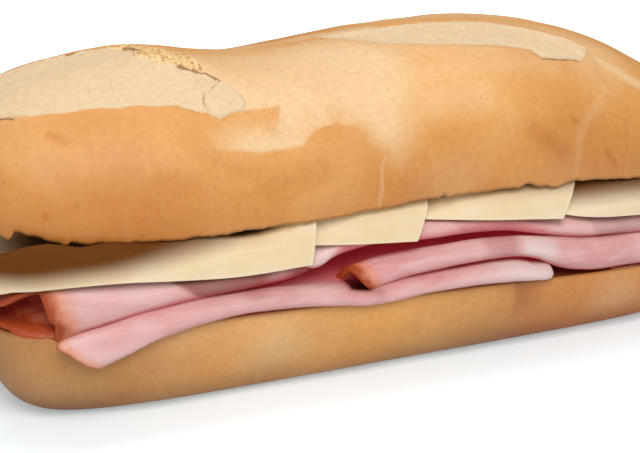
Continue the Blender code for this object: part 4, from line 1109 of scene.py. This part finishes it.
def make_upper_half():
    """Mesh the upper half, sink its slashes, lift its flaps, tear its cut edge and return its points, their
    normals and how crumbly the crust is at each."""
    along, ring, crest, back_rim = upper_half_grid()
    points, inward = upper_half_points(along, ring)
    crust = ring <= np.pi
    run = running(np.linalg.norm(np.diff(points, axis=1), axis=2), 1)
    girth = np.where(crust, run - run[:, crest:crest + 1], 99.0)
    # outlines wander a little, as torn skin does
    x = points[..., 0] + 0.25 * lumps(points, 5.0, 31) + 0.12 * lumps(points, 1.9, 32)
    g = girth + 0.25 * lumps(points, 5.0, 33) + 0.12 * lumps(points, 1.9, 34)
    first, second = patch_inside(x, g, FIRST_SLASH), patch_inside(x, g, SECOND_SLASH)
    flap_1, flap_2 = patch_inside(x, g, FIRST_FLAP), patch_inside(x, g, SECOND_FLAP)
    lip = patch_inside(x + 0.5 * lumps(points, 2.6, 35), g + 0.5 * lumps(points, 2.6, 36), CRUMBLY_LIP)
    crack_and_shade = np.full_like(x, 9.0)
    for line, half_width in CRACKS:
        crack_and_shade = np.minimum(crack_and_shade, line_gap(x, g, line) - half_width)
    # slashes and cracks are sunk, and the flaps and the crumbly lip stand up
    crumbly = smooth_step(-0.3, 0.5, lip)
    sunk = 0.55 * smooth_step(0.0, 0.7, first) + 0.9 * smooth_step(0.0, 9.0, first)
    sunk = sunk + 0.4 * smooth_step(0.0, 0.7, second) + 0.6 * smooth_step(0.0, 6.0, second)
    sunk = sunk + 0.45 * smooth_step(0.7, 0.0, crack_and_shade)
    raised = 0.55 * smooth_step(-0.1, 0.7, flap_1) + 0.5 * smooth_step(-0.1, 0.7, flap_2)
    raised = raised + crumbly * (0.05 + 0.3 * lumps(points, 2.4, 37) + 0.25 * lumps(points, 1.2, 38))
    floury = smooth_step(0.0, 1.0, np.maximum(first, second))
    even = 0.25 * lumps(points, 36.0, 21) + 0.08 * lumps(points, 12.0, 24) - 0.25
    even = even + floury * (0.10 * lumps(points, 3.0, 25) + 0.05 * lumps(points, 1.3, 26))
    rim = smooth_line(TOP_RIM, points[..., 0])
    free = crust * smooth_step(0.0, 6.0, points[..., 2] - rim)
    normal = grid_normals(points, True)
    points = points + normal * (free * (even + raised - sunk))[..., None]
    # the front cut edge is torn, and the rest of it is only a little uneven
    at_front = smooth_step(0.0, 8.0, -points[..., 1])
    flat = points * (1.0, 1.0, 0.0)
    torn = np.interp(points[..., 0], [p[0] for p in TORN_EDGE], [p[1] for p in TORN_EDGE]) * at_front
    torn = torn + 0.16 * lumps(flat, 2.6, 27) + 0.2 * lumps(flat, 7.0, 28)
    near_edge = np.where(crust, smooth_step(7.0, 0.0, points[..., 2] - rim), smooth_step(18.0, 3.0, inward))
    sink = np.where(crust, 0.0, CRUMB_SINK * smooth_step(0.0, CRUST_EDGE, inward))
    points[..., 2] += torn * near_edge + sink
    # and the crumb is hollow inside it at the far left
    hollow = window(inward, 0.5, 4.0, 9.0, 22.0) * smooth_step(-78.0, -88.0, points[..., 0])
    points[..., 2] += 2.2 * hollow * at_front
    points[0, :] = points[0].mean(axis=0)
    points[-1, :] = points[-1].mean(axis=0)
    plain_x = points[..., 0]
    # browner towards the left end, lighter at the far right, and darker low down, which is painted shade
    # where the crust turns under
    toast_and_shade = 0.1 + 0.5 * smooth_step(26.0, 0.0, points[..., 2] - rim) + 0.2 * lumps(points, 45.0, 22)
    toast_and_shade = toast_and_shade + 0.2 * smooth_step(-50.0, -80.0, plain_x) + 0.12 * smooth_step(-40.0, 60.0, plain_x)
    toast_and_shade = toast_and_shade - 0.2 * smooth_step(45.0, 65.0, plain_x)
    toast_and_shade = np.clip(toast_and_shade + faint_lines(x, g, BROWN_LINES), 0.0, 1.3)
    # pale where the skin is stretched, beside the second slash and in faint lines
    in_skin = patch_inside(x, g, SKIN_LIMIT)
    soft_limit = 0.5 + 2.6 * smooth_step(-20.0, -12.0, plain_x)
    skin = 0.72 * smooth_step(-soft_limit, soft_limit, in_skin)
    skin = skin * smooth_step(-8.0, 8.0, patch_inside(x, g, SKIN_FADE))
    smear = 0.75 * smooth_step(-0.6, 0.6, patch_inside(x, g, SMEAR_LIMIT)) * smooth_step(-32.5, -41.0, girth)
    smear = smear * smooth_step(-57.0, -42.0, plain_x)
    beside_slash = 0.3 * smooth_step(18.0, 0.0, -second) * smooth_step(-60.0, -20.0, plain_x) * (g < 0)
    pale = np.maximum(skin, smear) + beside_slash + 0.12 * lumps(points, 30.0, 23)
    lines = faint_lines(x, g, PALE_LINES) * np.where(in_skin > -0.5, 1.0, plain_x > -11.9)
    pale = np.clip(np.maximum(pale, lines), 0.0, 1.0)
    # the first slash has no crisp edge at its far left
    crisp = 0.1 + 0.9 * np.maximum(smooth_step(-97.0, -78.0, plain_x), smooth_step(-8.0, 0.0, girth))
    flour = np.clip(np.maximum.reduce([first * crisp, second, flap_1, flap_2]), -4.0, 4.0)
    # painted shade: at the far left, under the torn edge, the cut face is coloured dark brown like crust
    # rather than pale crumb
    painted_shade_left = smooth_step(-80.0, -90.0, plain_x) * at_front
    toast_and_shade = toast_and_shade + 0.9 * painted_shade_left * smooth_step(0.0, 1.5, inward)
    dark = ~crust & (painted_shade_left + 0.15 * lumps(points, 3.0, 39) > 0.3)
    from_rim = np.where(crust, np.minimum(run, run[:, back_rim:back_rim + 1] - run), 0.0)
    fields = {"toast_and_shade": toast_and_shade, "pale": pale, "flour": flour, "crumbly": crumbly, "rim": from_rim,
              "inward": np.maximum(inward - 60.0 * painted_shade_left, 0.0),
              "crack_and_shade": np.clip(np.where(dark, -1.0, crack_and_shade), -1.0, 4.0)}
    finish = bread_finish("bread top", tint(198, 116, 38), tint(198, 122, 50))
    piece = loaf_mesh("roll_upper_half", points, finish, fields)
    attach(piece, "root")
    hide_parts("bread_top")
    return points, normal, crumbly * crust


top_points, top_normals, top_crumbly = make_upper_half()


# ---------------------------------------------------------------- loose crumbs
# Crumbs of torn crust and dried dough, each a lumpy grain under a millimetre and a half across, that cling to
# the broken lip of the first slash.

CRUMB_COUNT = 70


def make_crumbs():
    """Grains: a ball of rings between two poles, stretched three ways, each of its points pushed in or out a
    little, sized and set down on the lip."""
    draw = np.random.default_rng(41)
    rows, columns = 6, 8
    tilt = np.linspace(0.0, np.pi, rows)[:, None]
    turn = np.linspace(0.0, 2.0 * np.pi, columns, endpoint=False)[None, :]
    ball = [np.sin(tilt) * np.cos(turn), np.sin(tilt) * np.sin(turn), np.cos(tilt) + 0.0 * turn]
    ball = np.stack(ball, axis=-1)
    ball = np.concatenate([ball[:1, 0], ball[1:-1].reshape(-1, 3), ball[-1:, 0]])
    weight = (top_crumbly * (top_crumbly > 0.6)).ravel()
    chosen = draw.choice(len(weight), CRUMB_COUNT, replace=False, p=weight / weight.sum())
    seat = top_points.reshape(-1, 3)[chosen]
    up = top_normals.reshape(-1, 3)[chosen]
    size = draw.uniform(0.12, 0.38, CRUMB_COUNT)
    shape = draw.uniform(0.7, 1.3, (CRUMB_COUNT, 1, 3))
    shape = shape * draw.uniform(0.8, 1.2, (CRUMB_COUNT, len(ball), 1))
    grains = ball[None, :, :] * shape * size[:, None, None]
    points = (seat + up * (0.35 * size)[:, None])[:, None, :] + grains
    starts = len(ball) * np.arange(CRUMB_COUNT)
    faces = []
    for loops in loaf_faces(rows, columns):
        faces += (loops[None] + starts[:, None, None]).reshape(-1, loops.shape[1]).tolist()
    shade = np.repeat(draw.uniform(0.0, 1.0, CRUMB_COUNT), len(ball))
    piece = write_piece("crust_crumbs", points.reshape(-1, 3), faces, crumb_finish(), {"shade": shade})
    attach(piece, "root")


def crumb_finish():
    """Dry dough and torn crust: each grain somewhere between cream and gold, with a fine grain."""
    material, tree, place, shader = new_finish("dry crumbs", 0.85)
    grain = band(tree, noise(tree, place, 2.5, 3.0), 0.3, 0.7, 0.0, 0.35)
    body = mixed(tree, field(tree, "shade"), tint(242, 214, 164), tint(222, 178, 112))
    tree.links.new(mixed(tree, grain, body, tint(176, 122, 64)), shader.inputs["Base Color"])
    relief(tree, shader, noise(tree, place, 2.0, 3.0), 0.15)
    return material


make_crumbs()


# ---------------------------------------------------------------- table, light and camera
# A plain white sweep under and behind the food, lit by one large softbox over its left front and by
# white walls all round, seen from a little above and to the left.

FLOOR_HALF = 6.0                # metres
SOFTBOX_AIM = (0.0, 0.0, 0.03)
CAMERA_TURN, CAMERA_RISE = np.radians(-24.0), np.radians(19.0)
CAMERA_DISTANCE = 441.0
CAMERA_AIM = (-8.75, 1.65, 31.14)
CAMERA_LENS, CAMERA_SENSOR = 90.0, 36.0


def white_sweep():
    """A large floor square of plain matt white."""
    half = FLOOR_HALF
    corners = [(-half, -half, 0.0), (half, -half, 0.0), (half, half, 0.0), (-half, half, 0.0)]
    mesh = bpy.data.meshes.new("white_floor")
    mesh.from_pydata(corners, [], [(0, 1, 2, 3)])
    material, tree, place, shader = new_finish("white floor", 0.8)
    shader.inputs["Base Color"].default_value = (0.76, 0.82, 0.86, 1.0)
    shader.inputs["Specular IOR Level"].default_value = 0.1
    # the sweep fades to clean white away from the food, and only looks white: it lights nothing
    away = add_node(tree, "ShaderNodeVectorMath", {0: place}, operation="LENGTH").outputs["Value"]
    near = band(tree, away, 130.0, 420.0, 0.36, 1.0)
    seen = add_node(tree, "ShaderNodeLightPath", {}).outputs["Is Camera Ray"]
    tree.links.new(maths(tree, "MULTIPLY", near, seen), shader.inputs["Emission Strength"])
    shader.inputs["Emission Color"].default_value = (0.93, 1.0, 1.0, 1.0)
    mesh.materials.append(material)
    floor = bpy.data.objects.new("white_floor", mesh)
    bpy.context.scene.collection.objects.link(floor)


def add_softbox(name, place, size, watts):
    """A square area light at a place, turned to the food, in metres."""
    lamp = bpy.data.lights.new(name, "AREA")
    lamp.size = size
    lamp.energy = watts
    light = bpy.data.objects.new(name, lamp)
    light.location = place
    light.rotation_euler = (Vector(SOFTBOX_AIM) - Vector(place)).to_track_quat("-Z", "Y").to_euler()
    bpy.context.scene.collection.objects.link(light)


white_sweep()
add_softbox("key_softbox", (-0.22, -0.75, 0.72), 0.5, 7.3)
add_softbox("top_softbox", (0.05, 0.2, 1.0), 0.7, 4.3)

world = bpy.data.worlds.new("white room")
world.use_nodes = True
backdrop = world.node_tree.nodes["Background"]
backdrop.inputs["Color"].default_value = (1.0, 1.0, 1.0, 1.0)
# the walls look white but light the food only dimly
seen = add_node(world.node_tree, "ShaderNodeLightPath", {}).outputs["Is Camera Ray"]
world.node_tree.links.new(band(world.node_tree, seen, 0.0, 1.0, 0.24, 1.1), backdrop.inputs["Strength"])
bpy.context.scene.world = world
bpy.context.scene.view_settings.view_transform = "Standard"

back = Vector((np.sin(CAMERA_TURN) * np.cos(CAMERA_RISE), -np.cos(CAMERA_TURN) * np.cos(CAMERA_RISE),
               np.sin(CAMERA_RISE)))
camera_data = bpy.data.cameras.new("camera")
camera_data.lens = CAMERA_LENS
camera_data.sensor_width = CAMERA_SENSOR
camera = bpy.data.objects.new("camera", camera_data)
camera.location = (Vector(CAMERA_AIM) + back * CAMERA_DISTANCE) * MM
camera.rotation_euler = (-back).to_track_quat("-Z", "Y").to_euler()
bpy.context.scene.collection.objects.link(camera)
bpy.context.scene.camera = camera
